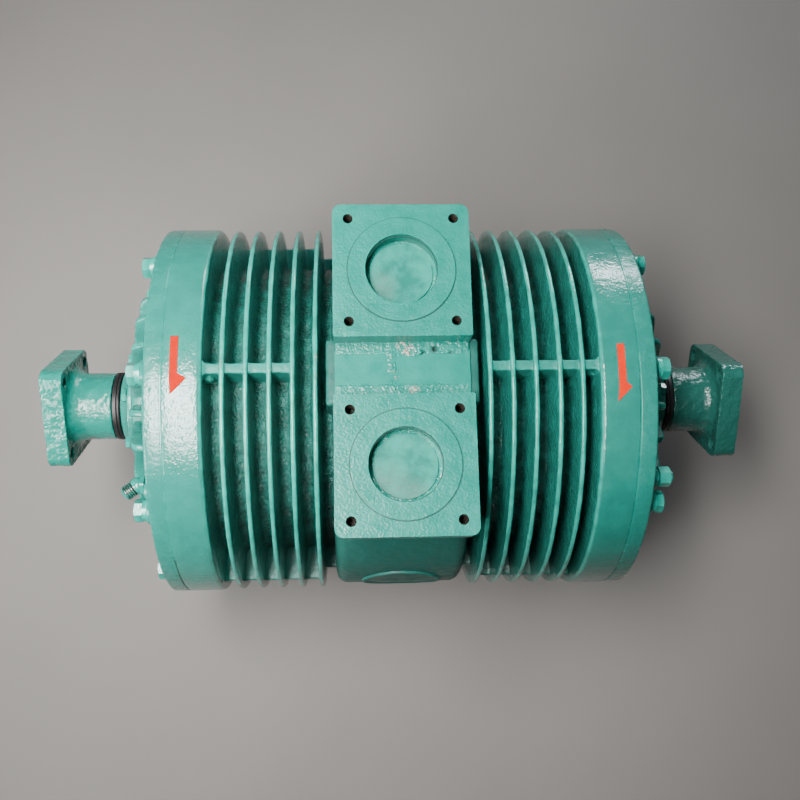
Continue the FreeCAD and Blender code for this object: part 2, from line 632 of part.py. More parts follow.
    turned(side + "_end_washer", [
        (S("shaft_end") + 2.0, 7.0), (S("shaft_end") + 7.0, 7.0), (S("shaft_end") + 7.0, 29.0),
        (S("shaft_end") + 6.0, 30.0), (S("shaft_end") + 2.0, 30.0)], left)
    end_bolt = Part.makeCylinder(6.0, 37.0, V(P["shaft_end"] - 30, 0, 0), V(1, 0, 0)).fuse(
        hex_prism(19.0, P["shaft_end"] + 7.0, P["shaft_end"] + 14.5, 15.0))
    feature(side + "_end_bolt", end_bolt, left, P["eccentricity"])

# ---------------------------------------------------------------- shaft and rotor
shaft = new_body("shaft", axis_z())
half = [(0, 0), (0, S("shaft_body_radius")), (S("rotor_half") - 1, S("shaft_body_radius")),
        (S("rotor_half") + 0.2, S("shaft_seal_radius")), (BS, S("shaft_seal_radius")),
        (BS, S("bearing_shaft")), (S("coupling_start") - 9.0, S("bearing_shaft")),
        (S("coupling_start") - 8.2, S("shaft_end_radius")),
        (S("shaft_end") - 1.5, S("shaft_end_radius")),
        (S("shaft_end"), S("shaft_end_radius") - 1.5), (S("shaft_end"), 0)]
sk = new_sketch(shaft, "XZ_Plane", "profile")
polygon(sk, [(-x, r) for x, r in reversed(half[2:])] + half[2:])
revolve(shaft, sk)
for sx in (-1, 1):
    sk = new_sketch(shaft, "YZ_Plane", "centre_%s" % ("right" if sx > 0 else "left"),
                    sx * (S("shaft_end") + 1))
    circle(sk, 0, 0, 6.1)
    pocket(shaft, sk, 34.0, reverse=sx < 0)
sk = new_sketch(shaft, "XY_Plane", "rotor_keyway", S("shaft_body_radius") - 7.5)
rectangle(sk, -80, -9.0, 80, 9.0)
pocket(shaft, sk, 20.0, reverse=True)
turn = {"left": P["coupling_turn_left"], "right": P["coupling_turn_right"]}
doc.recompute()
ways = []
for side, left in (("left", True), ("right", False)):
    way = doc.addObject("Part::Box", side + "_keyway")
    for path, value in (("Length", S("shaft_end") - S("coupling_start") + 0.0), ("Width", 14.0),
                        ("Height", 20.0)):
        bind(way, path, value)
    rotation = FreeCAD.Rotation(V(0, 0, 1), 180) if left else FreeCAD.Rotation()
    rotation = rotation.multiply(FreeCAD.Rotation(V(1, 0, 0), turn[side]))
    base = V(0, 0, P["axis_height"] + P["eccentricity"]) + rotation.multVec(
        V(P["coupling_start"] + 1.5, -7.0, P["shaft_end_radius"] - 5.5))
    way.Placement = FreeCAD.Placement(base, rotation)
    ways.append(way)
cut_shaft = doc.addObject("Part::Cut", "shaft_left_cut")
cut_shaft.Base = shaft
cut_shaft.Tool = ways[0]
shaft.Label = "shaft_blank"
keyed_shaft = doc.addObject("Part::Cut", "keyed_shaft")
keyed_shaft.Base = cut_shaft
keyed_shaft.Tool = ways[1]
keyed_shaft.Label = "shaft"

rotor = new_body("rotor", axis_z())
sk = new_sketch(rotor, "YZ_Plane", "round")
circle(sk, 0, 0, S("rotor_radius"))
pad(rotor, sk, 2 * S("rotor_half"), both=True)
sk = new_sketch(rotor, "YZ_Plane", "slot")
SO, SW, SB = S("slot_offset"), S("slot_width"), S("slot_bottom")
turn_v = math.radians(P["vane_phase"])


def turned_point(y, z):
    """A point of the first vane's frame, turned to the rotor's rest position."""
    c, n = math.cos(turn_v), math.sin(turn_v)
    y, z = dim(y), dim(z)
    return (y * c - z * n, y * n + z * c)


polygon(sk, [turned_point(SO - SW / 2, SB), turned_point(SO + SW / 2, SB),
             turned_point(SO + SW / 2, 130.0), turned_point(SO - SW / 2, 130.0)])
f = pocket(rotor, sk, 2 * S("rotor_half") + 20, both=True)
f = polar(rotor, f, 4)
sk = new_sketch(rotor, "YZ_Plane", "core")
x, y = turned_point(76.0, 14.0)
circle(sk, x, y, 24.0)
f = pocket(rotor, sk, 2 * S("rotor_half") + 20, both=True)
f = polar(rotor, f, 4)
sk = new_sketch(rotor, "YZ_Plane", "bore")
circle(sk, 0, 0, S("shaft_body_radius"))
pocket(rotor, sk, 2 * S("rotor_half") + 20, both=True)
sk = new_sketch(rotor, "XY_Plane", "keyway", S("shaft_body_radius") - 10)
rectangle(sk, -80, -9.0, 80, 9.0)
pocket(rotor, sk, 14.4, reverse=True)
key = new_body("rotor_key", axis_z())
sk = new_sketch(key, "XY_Plane", "outline", S("shaft_body_radius") - 7.4)
rectangle(sk, -79.5, -8.98, 79.5, 8.98)
pad(key, sk, 11.4)
for number in (1, 2, 3, 4):
    vane = new_body("vane_%d" % number, axis_z(), False, P["vane_phase"] + 90.0 * (number - 1))
    sk = new_sketch(vane, "YZ_Plane", "section")
    half_w = S("vane_width") / 2
    top, low = S("vane_top"), S("vane_bottom")
    polygon(sk, [(SO - half_w, low), (SO + half_w, low), (SO + half_w, top - 1.0),
                 (SO + half_w - 1.0, top), (SO - half_w + 1.0, top), (SO - half_w, top - 1.0)])
    pad(vane, sk, 2 * S("vane_half"), both=True)

# ---------------------------------------------------------------- small fittings
# Blanking disc on the seat in each port.
for label, yc in (("inlet_blanking_disc", S("inlet_y")), ("outlet_blanking_disc", -S("outlet_y"))):
    disc = new_body(label)
    sk = new_sketch(disc, "XY_Plane", "outline", S("flange_top") - S("port_seat"))
    circle(sk, 0, yc, S("blank_radius"))
    pad(disc, sk, S("blank_thick"))

# Drain plug in the belly.
plug = Part.makeCylinder(8.0, 30.0, V(-P["drum_radius"] - 7, 0, 0), V(1, 0, 0)).fuse(
    hex_prism(19.0, -P["drum_radius"] - 15, -P["drum_radius"] - 7, 0.0, False))
plug.rotate(V(0, 0, 0), V(0, 1, 0), -90)
feature("drain_plug", plug)

# Oil elbow on the left cover and oil connector with its nut on the right one.
OY, OZ = -P["oil_y"], P["oil_z"]
seat = CF.value + 6.0
bend = V(seat + 8.0, 0, 0)
way = V(1.0, 0.70, 0).normalize()
nipple = Part.makeCylinder(6.0, 12.0, V(seat - 11.5, 0, 0), V(1, 0, 0))
nipple = nipple.fuse(hex_prism(19.0, seat, seat + 4.0))
nipple = nipple.fuse(Part.makeCylinder(8.0, 5.0, V(seat + 3.0, 0, 0), V(1, 0, 0)))
nipple = nipple.fuse(Part.makeSphere(9.0, bend))
nipple = nipple.fuse(Part.makeCylinder(8.4, 13.0, bend, way))
nipple = nipple.fuse(Part.makeCone(8.4, 5.0, 4.5, bend + way * 13.0, way))
nipple = nipple.cut(Part.makeCylinder(2.5, 31.5, V(seat - 23.5, 0, 0), V(1, 0, 0)))
nipple = nipple.cut(Part.makeCylinder(2.5, 30.0, bend, way))
nipple.translate(V(0, -OY, OZ))
feature("oil_nipple", nipple, True)
conn = Part.makeCylinder(6.0, 12.0, V(seat - 11.5, 0, 0), V(1, 0, 0))
conn = conn.fuse(hex_prism(17.0, seat, seat + 5.0))
conn = conn.fuse(Part.makeCylinder(6.0, 16.0, V(seat + 4.5, 0, 0), V(1, 0, 0)))
conn.translate(V(0, OY, OZ))
feature("oil_connector", conn)
nut = hex_prism(19.0, seat + 6.0, seat + 18.0, 15.0).cut(
    Part.makeCylinder(6.05, 30.0, V(seat, 0, 0), V(1, 0, 0)))
nut.translate(V(0, OY, OZ))
feature("oil_connector_nut", nut)

# Direction arrows: thin half arrows that lie on the end rings.
shell = Part.makeCylinder(P["ring_radius"] + P["arrow_thick"], 60, V(-30, 0, 0), V(1, 0, 0)).cut(
    Part.makeCylinder(P["ring_radius"], 80, V(-40, 0, 0), V(1, 0, 0)))
ARROWS = {
    "left_rotation_arrow": [(-233.9, 33), (-225.9, 33), (-225.9, -6), (-217.0, -11), (-233.0, -27.5),
                            (-233.9, -10)],
    "right_rotation_arrow": [(220.4, 20.4), (228.2, 20.4), (228.2, -20.0), (233.9, -25), (219.0, -39.9),
                             (220.4, -24.4)],
}
for label, outline in ARROWS.items():
    pts = [V(x, y, 150) for x, y in outline]
    prism = Part.Face(Part.makePolygon(pts + [pts[0]])).extrude(V(0, 0, 100))
    moved = shell.copy()
    moved.translate(V(sum(p.x for p in pts) / len(pts), 0, 0))
    feature(label, prism.common(moved))

# ---------------------------------------------------------------- check and write
doc.recompute()
bad = [o.Name + " " + str(o.State) for o in doc.Objects
       if "Invalid" in o.State or "Error" in o.State]
if bad:
    raise RuntimeError("failed objects: " + ", ".join(bad))
HELPERS = {"shaft_blank", "shaft_left_cut", "left_keyway", "right_keyway"}
nodes = {}
for obj in doc.Objects:
    if obj.TypeId in ("PartDesign::Body", "Part::Feature", "Part::Cut"):
        if obj.Label in HELPERS or obj.Name in HELPERS:
            continue
        if obj.TypeId == "Part::Feature" and obj.getParentGeoFeatureGroup() is not None:
            continue
        nodes[obj.Label] = obj
os.makedirs("parts", exist_ok=True)
for label, obj in sorted(nodes.items()):
    shape = obj.Shape
    if shape.isNull() or not shape.isValid() or not shape.Solids:
        raise RuntimeError("bad shape: " + label)
for label, obj in sorted(nodes.items()):
    shape = obj.Shape
    box = shape.BoundBox
    print("%-24s solids %2d  volume %10.1f  x %7.1f %7.1f  y %7.1f %7.1f  z %6.1f %6.1f" % (
        label, len(shape.Solids), shape.Volume / 1000, box.XMin, box.XMax, box.YMin, box.YMax,
        box.ZMin, box.ZMax))
    shape.exportStep("parts/" + label + ".step")
print(len(nodes), "parts written")
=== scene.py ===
import bpy
import bmesh
import json
import math
from mathutils import Vector, Matrix, noise


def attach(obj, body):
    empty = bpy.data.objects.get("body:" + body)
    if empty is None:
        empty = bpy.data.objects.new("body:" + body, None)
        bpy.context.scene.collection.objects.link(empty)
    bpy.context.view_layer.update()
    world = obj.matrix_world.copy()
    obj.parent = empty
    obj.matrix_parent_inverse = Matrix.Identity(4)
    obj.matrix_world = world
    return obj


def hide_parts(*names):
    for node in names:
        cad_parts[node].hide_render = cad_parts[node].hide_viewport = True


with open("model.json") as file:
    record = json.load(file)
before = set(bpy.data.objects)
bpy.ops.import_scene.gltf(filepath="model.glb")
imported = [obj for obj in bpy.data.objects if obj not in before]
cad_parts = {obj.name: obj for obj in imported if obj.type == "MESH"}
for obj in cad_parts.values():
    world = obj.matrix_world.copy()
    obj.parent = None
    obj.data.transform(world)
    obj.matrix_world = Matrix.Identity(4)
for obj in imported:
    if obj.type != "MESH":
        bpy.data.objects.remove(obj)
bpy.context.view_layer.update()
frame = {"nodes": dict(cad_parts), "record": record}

NODES = frame["nodes"]
MM = 0.001
H = 240.0            # height of the casing's axis over the feet, mm
E = 30.0             # shaft above the casing's axis, mm
L, RING, RI = 242.5, 216.0, 202.6
RG = 168.0
INLET_Y, OUTLET_Y = 94.7, -103.9
FINS_LEFT = [182.6, 158.9, 135.4, 111.8, 88.8]
FINS_RIGHT = [89.2, 112.7, 136.4, 161.0, 184.4]


# ------------------------------------------------------------------ mesh helpers
def finish_mesh(me, angle=38.0):
    me.validate()
    me.shade_smooth()
    me.set_sharp_from_angle(angle=math.radians(angle))


def new_object(name, me):
    ob = bpy.data.objects.new(name, me)
    bpy.context.scene.collection.objects.link(ob)
    return ob


def from_bm(name, bm, angle=38.0):
    bmesh.ops.recalc_face_normals(bm, faces=bm.faces[:])
    me = bpy.data.meshes.new(name)
    bm.to_mesh(me)
    bm.free()
    finish_mesh(me, angle)
    return new_object(name, me)


def round_profile(points, steps=4):
    """Points (x, r, radius) to a polyline with its corners rounded."""
    out = []
    n = len(points)
    for i, (x, y, rad) in enumerate(points):
        if rad <= 0 or i in (0, n - 1):
            out.append((x, y))
            continue
        a = Vector((points[i - 1][0] - x, points[i - 1][1] - y))
        b = Vector((points[i + 1][0] - x, points[i + 1][1] - y))
        la, lb = a.length, b.length
        a.normalize()
        b.normalize()
        ang = a.angle(b)
        cut = min(rad / math.tan(ang / 2), la * 0.48, lb * 0.48)
        rad2 = cut * math.tan(ang / 2)
        p = Vector((x, y))
        centre = p + (a + b).normalized() * (rad2 / math.sin(ang / 2))
        s = p + a * cut - centre
        t = p + b * cut - centre
        for k in range(steps + 1):
            f = k / steps
            v = s.lerp(t, f).normalized() * rad2
            out.append(((centre + v).x, (centre + v).y))
    return out


def split_long(profile, longest):
    out = [profile[0]]
    for a, b in zip(profile, profile[1:]):
        d = math.hypot(b[0] - a[0], b[1] - a[1])
        k = max(1, int(math.ceil(d / longest)))
        for j in range(1, k + 1):
            out.append((a[0] + (b[0] - a[0]) * j / k, a[1] + (b[1] - a[1]) * j / k))
    return out


def lathe(bm, profile, segments, z0=H, y0=0.0, rough=None, closed=False, sweep=None):
    """Turn a profile of (x, r) in mm about the X axis at height z0. rough(x, r) is the noise
    height in mm, pushed along the profile's normal."""
    n = len(profile)
    normals = []
    for i in range(n):
        a = profile[i - 1] if (i > 0 or closed) else profile[i]
        b = profile[(i + 1) % n] if (i < n - 1 or closed) else profile[i]
        t = Vector((b[0] - a[0], b[1] - a[1]))
        t = t.normalized() if t.length > 1e-9 else Vector((1, 0))
        normals.append((-t.y, t.x))
    rings = []
    for j in range(segments):
        ang = 2 * math.pi * j / segments
        c, s = math.cos(ang), math.sin(ang)
        ring = []
        for i, (x, r) in enumerate(profile):
            px, pr = x, r
            if rough is not None and r > 0.01:
                amp, scale = rough(x, r)
                if amp:
                    q = Vector((x * scale, r * s * scale, r * c * scale))
                    v = noise.fractal(q, 1.0, 2.0, 3) * amp
                    px += normals[i][0] * v
                    pr += normals[i][1] * v
            ring.append(bm.verts.new((px * MM, (y0 + pr * s) * MM, (z0 + pr * c) * MM)))
        rings.append(ring)
    for j in range(segments):
        a, b = rings[j], rings[(j + 1) % segments]
        last = n if closed else n - 1
        for i in range(last):
            k = (i + 1) % n
            quad = [a[i], a[k], b[k], b[i]]
            if profile[i][1] < 0.01 and profile[k][1] < 0.01:
                continue
            try:
                bm.faces.new(quad)
            except ValueError:
                pass
    bmesh.ops.remove_doubles(bm, verts=[v for r in rings for v in r], dist=1e-7)


def rounded_box(bm, x0, x1, y0, y1, z0, z1, bevel=2.0, segments=3, matrix=None):
    """A box in mm, in the casing frame, with rounded edges."""
    made = bmesh.ops.create_cube(bm, size=1.0)["verts"]
    for v in made:
        v.co = Vector(((x0 + x1) / 2 + v.co.x * (x1 - x0), (y0 + y1) / 2 + v.co.y * (y1 - y0),
                       (z0 + z1) / 2 + v.co.z * (z1 - z0)))
    edges = list({e for v in made for e in v.link_edges})
    if bevel > 0:
        res = bmesh.ops.bevel(bm, geom=edges, offset=bevel, offset_type="OFFSET", segments=segments,
                              profile=0.5, affect="EDGES", clamp_overlap=True)
        made = list({v for v in res["verts"]} | {v for v in made if v.is_valid})
    for v in made:
        p = v.co if matrix is None else matrix @ v.co
        v.co = Vector((p.x, p.y, p.z + H)) * MM
    return made


def circle_pts(cx, cy, r, n, start=0.0):
    return [(cx + r * math.cos(start + 2 * math.pi * k / n), cy + r * math.sin(start + 2 * math.pi * k / n))
            for k in range(n)]


def rounded_rect(x0, x1, y0, y1, radii, n=8):
    """Outline anticlockwise from the lower left corner; radii as (ll, lr, ur, ul)."""
    pts = []
    for (cx, cy, a0), r in zip(((x0, y0, 180), (x1, y0, 270), (x1, y1, 0), (x0, y1, 90)), radii):
        sx = 1 if cx == x0 else -1
        sy = 1 if cy == y0 else -1
        ox, oy = cx + sx * r, cy + sy * r
        for k in range(n + 1):
            a = math.radians(a0 + 90.0 * k / n)
            pts.append((ox + r * math.cos(a), oy + r * math.sin(a)))
    return pts


def plate(name, outline, holes, z0, z1, bevel=0.8, rim=2):
    """A flat plate in mm with holes, its edges softened. z is above the feet."""
    bm = bmesh.new()
    edges = []
    for loop in [outline] + holes:
        vs = [bm.verts.new((x * MM, y * MM, z0 * MM)) for x, y in loop]
        edges += [bm.edges.new((vs[i], vs[(i + 1) % len(vs)])) for i in range(len(vs))]
    res = bmesh.ops.triangle_fill(bm, use_beauty=True, edges=edges, normal=Vector((0, 0, 1)))
    faces = [f for f in res["geom"] if isinstance(f, bmesh.types.BMFace)]
    made = bmesh.ops.extrude_face_region(bm, geom=faces)
    top = [g for g in made["geom"] if isinstance(g, bmesh.types.BMVert)]
    for v in top:
        v.co.z = z1 * MM
    bmesh.ops.recalc_face_normals(bm, faces=bm.faces[:])
    if bevel > 0:
        bm.normal_update()
        sharp = [e for e in bm.edges if len(e.link_faces) == 2
                 and e.calc_face_angle(0) > math.radians(50)
                 and abs(e.verts[0].co.z - e.verts[1].co.z) < 1e-6]
        bmesh.ops.bevel(bm, geom=sharp, offset=bevel * MM, offset_type="OFFSET", segments=rim,
                        profile=0.5, affect="EDGES", clamp_overlap=True)
    bm.normal_update()
    flats = [f for f in bm.faces if abs(f.normal.z) > 0.999]
    bmesh.ops.inset_region(bm, faces=flats, thickness=1.3 * MM, use_even_offset=True)
    ob = from_bm(name, bm, 50.0)
    flat = ob.modifiers.new("flat_faces", "WEIGHTED_NORMAL")
    flat.keep_sharp = True
    flat.weight = 100
    return ob


def baked(ob, name=None):
    """The object with its modifiers applied to the mesh."""
    deps = bpy.context.evaluated_depsgraph_get()
    me = bpy.data.meshes.new_from_object(ob.evaluated_get(deps))
    old = ob.data
    ob.modifiers.clear()
    ob.data = me
    bpy.data.meshes.remove(old)
    return ob


def noise_texture(name, size):
    tex = bpy.data.textures.new(name, "CLOUDS")
    tex.noise_scale = size * MM
    tex.noise_depth = 2
    return tex


CAST_COARSE = noise_texture("cast_coarse", 9.0)
CAST_FINE = noise_texture("cast_fine", 3.2)
CAST_STIPPLE = noise_texture("cast_stipple", 1.7)


def cast_modifiers(ob, voxel, smooth=2, coarse=0.7, fine=0.35):
    """Round a modelled part off as a casting: remesh, smooth, then shrink unevenly."""
    rem = ob.modifiers.new("round_off", "REMESH")
    rem.mode = "VOXEL"
    rem.voxel_size = voxel * MM
    rem.use_smooth_shade = True
    sm = ob.modifiers.new("soften", "SMOOTH")
    sm.iterations = smooth
    sm.factor = 0.5
    for tex, amount in ((CAST_COARSE, coarse), (CAST_FINE, fine)):
        if amount > 0:
            dis = ob.modifiers.new("cast_" + tex.name, "DISPLACE")
            dis.texture = tex
            dis.texture_coords = "LOCAL"
            dis.strength = amount * MM
            dis.mid_level = 1.0
    return ob


# ------------------------------------------------------------------ materials
def nodes_of(name):
    mat = bpy.data.materials.new(name)
    mat.use_nodes = True
    nt = mat.node_tree
    return mat, nt, nt.nodes["Principled BSDF"]


def add(nt, kind, **values):
    node = nt.nodes.new(kind)
    for key, value in values.items():
        if key in node.inputs:
            node.inputs[key].default_value = value
        else:
            setattr(node, key, value)
    return node


def noise_node(nt, coord, scale, detail=4.0, rough=0.55, distortion=0.0):
    node = add(nt, "ShaderNodeTexNoise", Scale=scale, Detail=detail, Roughness=rough,
               Distortion=distortion)
    nt.links.new(coord, node.inputs["Vector"])
    return node.outputs["Fac"]


def ramp(nt, source, lo, hi, a=0.0, b=1.0):
    node = add(nt, "ShaderNodeMapRange")
    node.inputs["From Min"].default_value = lo
    node.inputs["From Max"].default_value = hi
    node.inputs["To Min"].default_value = a
    node.inputs["To Max"].default_value = b
    nt.links.new(source, node.inputs["Value"])
    return node.outputs["Result"]


def math_node(nt, op, a, b):
    node = nt.nodes.new("ShaderNodeMath")
    node.operation = op
    for i, v in enumerate((a, b)):
        if isinstance(v, (int, float)):
            node.inputs[i].default_value = v
        else:
            nt.links.new(v, node.inputs[i])
    return node.outputs[0]


def mix_color(nt, fac, a, b, blend="MIX"):
    node = nt.nodes.new("ShaderNodeMix")
    node.data_type = "RGBA"
    node.blend_type = blend
    if isinstance(fac, (int, float)):
        node.inputs[0].default_value = fac
    else:
        nt.links.new(fac, node.inputs[0])
    for i, v in ((6, a), (7, b)):
        if isinstance(v, tuple):
            node.inputs[i].default_value = (*v, 1.0)
        else:
            nt.links.new(v, node.inputs[i])
    return node.outputs[2]


def bump(nt, height, strength, distance, normal=None):
    node = add(nt, "ShaderNodeBump", Strength=strength, Distance=distance)
    nt.links.new(height, node.inputs["Height"])
    if normal is not None:
        nt.links.new(normal, node.inputs["Normal"])
    return node.outputs["Normal"]


TEAL = (0.004, 0.188, 0.146)
TEAL_DARK = (0.004, 0.026, 0.020)
TEAL_PALE = (0.026, 0.390, 0.310)


def spot(nt, position, centre, radius):
    """1 inside a soft ball about centre (metres), 0 outside."""
    node = nt.nodes.new("ShaderNodeVectorMath")
    node.operation = "DISTANCE"
    nt.links.new(position, node.inputs[0])
    node.inputs[1].default_value = centre
    return ramp(nt, node.outputs["Value"], radius, radius * 0.35)


def relief(nt, height, strength, distance, normal):
    """A bump whose strength comes from another node."""
    out = bump(nt, height, 1.0, distance, normal)
    nt.links.new(strength, out.node.inputs["Strength"])
    return out


def paint(name, peel=0.35, grain=0.35, coarse=0.0, gloss=0.26, edge_wear_and_sheen=1.0, chips=(), tint=1.0,
          dust=0.12, rims=False, haze=(), pits=(), scuff=0.54, spec=0.42, coat=0.28,
          chalk=0.0):
    """Gloss teal enamel: orange peel, casting grain below it, thin worn edges that also carry a painted highlight,
    painted shade in corners and towards the bottom.
    """
    mat, nt, bsdf = nodes_of(name)
    coord = add(nt, "ShaderNodeTexCoord").outputs["Object"]
    big = noise_node(nt, coord, 9.0, 3.0, 0.5)
    mid = noise_node(nt, coord, 55.0, 4.0, 0.6)
    fine = noise_node(nt, coord, 420.0, 3.0, 0.6)
    speck = noise_node(nt, coord, 900.0, 2.0, 0.5)
    own = (TEAL[0] + chalk, TEAL[1] - chalk * 0.4, TEAL[2])
    base = mix_color(nt, ramp(nt, big, 0.3, 0.7), tuple(c * 0.93 * tint for c in own),
                     tuple(c * 1.06 * tint for c in own))
    base = mix_color(nt, ramp(nt, mid, 0.40, 0.80, 0.0, 0.22), base, tuple(c * tint for c in TEAL_PALE))
    geo = nt.nodes.new("ShaderNodeNewGeometry")
    point = geo.outputs["Pointiness"]
    # convex edges lighter: worn paint, and partly a painted highlight along the edges
    edge = math_node(nt, "MULTIPLY", ramp(nt, point, 0.515, 0.585),
                     ramp(nt, mid, 0.38, 0.62, 0.25, 1.0))
    base = mix_color(nt, math_node(nt, "MULTIPLY", edge, 0.55 * edge_wear_and_sheen), base, TEAL_PALE)
    # painted shade in concave corners
    corner = ramp(nt, point, 0.49, 0.40)
    base = mix_color(nt, math_node(nt, "MULTIPLY", corner, 0.75), base, TEAL_DARK)
    base = mix_color(nt, ramp(nt, speck, 0.66, 0.74, 0.0, dust * 3), base, (0.02, 0.05, 0.04))
    rough = ramp(nt, mid, 0.3, 0.7, gloss * 0.75, gloss * 1.35)
    if rims:
        # thin, rubbed paint on the outer rims of the fins, away from the casing's axis, and partly a painted highlight
        # on the rims
        radial = add(nt, "ShaderNodeMapping")
        radial.inputs["Location"].default_value = (0.0, 0.0, -H * MM)
        radial.inputs["Scale"].default_value = (0.0, 1.0, 1.0)
        nt.links.new(coord, radial.inputs["Vector"])
        length = nt.nodes.new("ShaderNodeVectorMath")
        length.operation = "LENGTH"
        nt.links.new(radial.outputs["Vector"], length.inputs[0])
        out = length.outputs["Value"]
        rim_rub_and_sheen = math_node(nt, "MULTIPLY", ramp(nt, out, 0.2115, 0.2142),
                        ramp(nt, mid, 0.30, 0.62, 0.15, 0.85))
        rim_rub_and_sheen = math_node(nt, "MULTIPLY", rim_rub_and_sheen, ramp(nt, out, 0.2158, 0.2150))
        base = mix_color(nt, rim_rub_and_sheen, base, TEAL_PALE)
        # painted shade deep in the fin grooves, darker towards the groove floor
        groove_shade = ramp(nt, out, 0.204, 0.172, 0.0, 0.44)
        base = mix_color(nt, math_node(nt, "MULTIPLY", groove_shade, ramp(nt, big, 0.25, 0.7, 0.55, 1.0)),
                         base, TEAL_DARK)
        # painted sheen: the groove floors are lightened in patches, standing in for light reaching them
        groove_sheen = math_node(nt, "MULTIPLY", ramp(nt, out, 0.208, 0.180), ramp(nt, mid, 0.42, 0.62, 0.0, 0.26))
        base = mix_color(nt, groove_sheen, base, TEAL_PALE)
        deep = ramp(nt, out, 0.210, 0.196)
    sep = nt.nodes.new("ShaderNodeSeparateXYZ")
    nt.links.new(coord, sep.inputs[0])
    # painted shade: the paint is darker towards the bottom, and more so on the right-hand side
    low = math_node(nt, "MULTIPLY", ramp(nt, sep.outputs["Z"], 0.430, 0.300, 0.0, 0.62),
                    ramp(nt, sep.outputs["X"], -0.20, 0.22, 0.25, 1.0))
    base = mix_color(nt, low, base, TEAL_DARK)
    for centre, radius in haze:
        base = mix_color(nt, math_node(nt, "MULTIPLY", spot(nt, coord, centre, radius),
                                       ramp(nt, fine, 0.35, 0.65, 0.25, 0.85)), base, (0.09, 0.22, 0.18))
    for centre, radius in pits:
        pit = math_node(nt, "MULTIPLY", spot(nt, coord, centre, radius), ramp(nt, mid, 0.42, 0.50))
        base = mix_color(nt, pit, base, (0.002, 0.018, 0.014))
    if chips:
        mask = None
        for centre, radius in chips:
            s = spot(nt, coord, centre, radius)
            mask = s if mask is None else math_node(nt, "MAXIMUM", mask, s)
        tear = noise_node(nt, coord, 190.0, 5.0, 0.7)
        mask = math_node(nt, "MULTIPLY", mask, ramp(nt, tear, scuff, scuff + 0.05))
        rusty = mix_color(nt, ramp(nt, fine, 0.4, 0.6), (0.62, 0.46, 0.38), (0.22, 0.12, 0.085))
        base = mix_color(nt, mask, base, rusty)
        rough = math_node(nt, "MAXIMUM", rough, math_node(nt, "MULTIPLY", mask, 0.7))
    nt.links.new(base, bsdf.inputs["Base Color"])
    nt.links.new(rough, bsdf.inputs["Roughness"])
    bsdf.inputs["Specular IOR Level"].default_value = spec
    bsdf.inputs["Coat Weight"].default_value = coat
    bsdf.inputs["Coat Roughness"].default_value = 0.07
    bsdf.inputs["IOR"].default_value = 1.5
    normal = bump(nt, noise_node(nt, coord, 130.0, 3.0, 0.5), grain, 0.0011)
    normal = bump(nt, noise_node(nt, coord, 380.0, 2.0, 0.45), peel, 0.0005, normal)
    if coarse:
        normal = bump(nt, noise_node(nt, coord, 62.0, 4.0, 0.65), coarse, 0.0030, normal)
    if rims:
        # the bottoms of the grooves are left as cast, so they glitter
        normal = relief(nt, noise_node(nt, coord, 270.0, 3.0, 0.6), deep, 0.0042, normal)
    nt.links.new(normal, bsdf.inputs["Normal"])
    nt.links.new(normal, bsdf.inputs["Coat Normal"])
    return mat


def plain(name, colour, dark, metallic, rough, scale=120.0, bump_mm=0.15, strength=0.3, spread=0.5,
          stretch=(1, 1, 1)):
    """A metal, rubber or board surface with uneven colour, gloss and relief."""
    mat, nt, bsdf = nodes_of(name)
    coord = add(nt, "ShaderNodeTexCoord").outputs["Object"]
    mapping = add(nt, "ShaderNodeMapping")
    mapping.inputs["Scale"].default_value = stretch
    nt.links.new(coord, mapping.inputs["Vector"])
    vec = mapping.outputs["Vector"]
    a = noise_node(nt, vec, scale, 4.0, 0.6)
    b = noise_node(nt, vec, scale * 5, 3.0, 0.6)
    base = mix_color(nt, ramp(nt, a, 0.3, 0.7), dark, colour)
    nt.links.new(base, bsdf.inputs["Base Color"])
    nt.links.new(ramp(nt, b, 0.3, 0.7, rough * (1 - spread * 0.5), rough * (1 + spread * 0.5)),
                 bsdf.inputs["Roughness"])
    bsdf.inputs["Metallic"].default_value = metallic
    nt.links.new(bump(nt, b, strength, bump_mm * MM), bsdf.inputs["Normal"])
    return mat


BAND = [((0.0057, 0.0160, 0.4535), 0.0085), ((-0.0050, -0.0086, 0.4525), 0.0070),
        ((0.0110, -0.0270, 0.4525), 0.0075), ((-0.0010, 0.0210, 0.4535), 0.0060)]
FIN_CHIPS = [((-0.0817, 0.0083, 0.4546), 0.0095), ((-0.0817, -0.0094, 0.4546), 0.0065),
             ((-0.0817, -0.0290, 0.4540), 0.0100), ((-0.1350, 0.0010, 0.4520), 0.0070),
             ((-0.1826, 0.0030, 0.4530), 0.0060), ((0.1610, 0.0020, 0.4540), 0.0060)]
M_SMOOTH = paint("teal_smooth", peel=0.20, grain=0.12, gloss=0.25, edge_wear_and_sheen=0.8, dust=0.06)
M_FLANGE = paint("teal_flange", peel=0.85, grain=0.46, gloss=0.32, edge_wear_and_sheen=1.4, dust=0.10, tint=1.04,
                 spec=0.25, coat=0.09)
M_FINS = paint("teal_fins", peel=0.66, grain=0.58, coarse=0.10, gloss=0.20, chips=FIN_CHIPS, rims=True, chalk=0.010,
               scuff=0.52, coat=0.40)
M_WEBS = paint("teal_webs", peel=1.0, grain=1.0, coarse=0.50, gloss=0.44, edge_wear_and_sheen=1.5, chalk=0.006,
               spec=0.28, coat=0.10)
M_LAND = paint("teal_land", peel=0.25, grain=0.14, gloss=0.30, edge_wear_and_sheen=0.6, dust=0.10, chips=BAND, tint=1.09,
               spec=0.18, coat=0.05)
M_CAST = paint("teal_cast", peel=0.42, grain=0.60, coarse=0.30, gloss=0.25, chips=BAND, chalk=0.010)
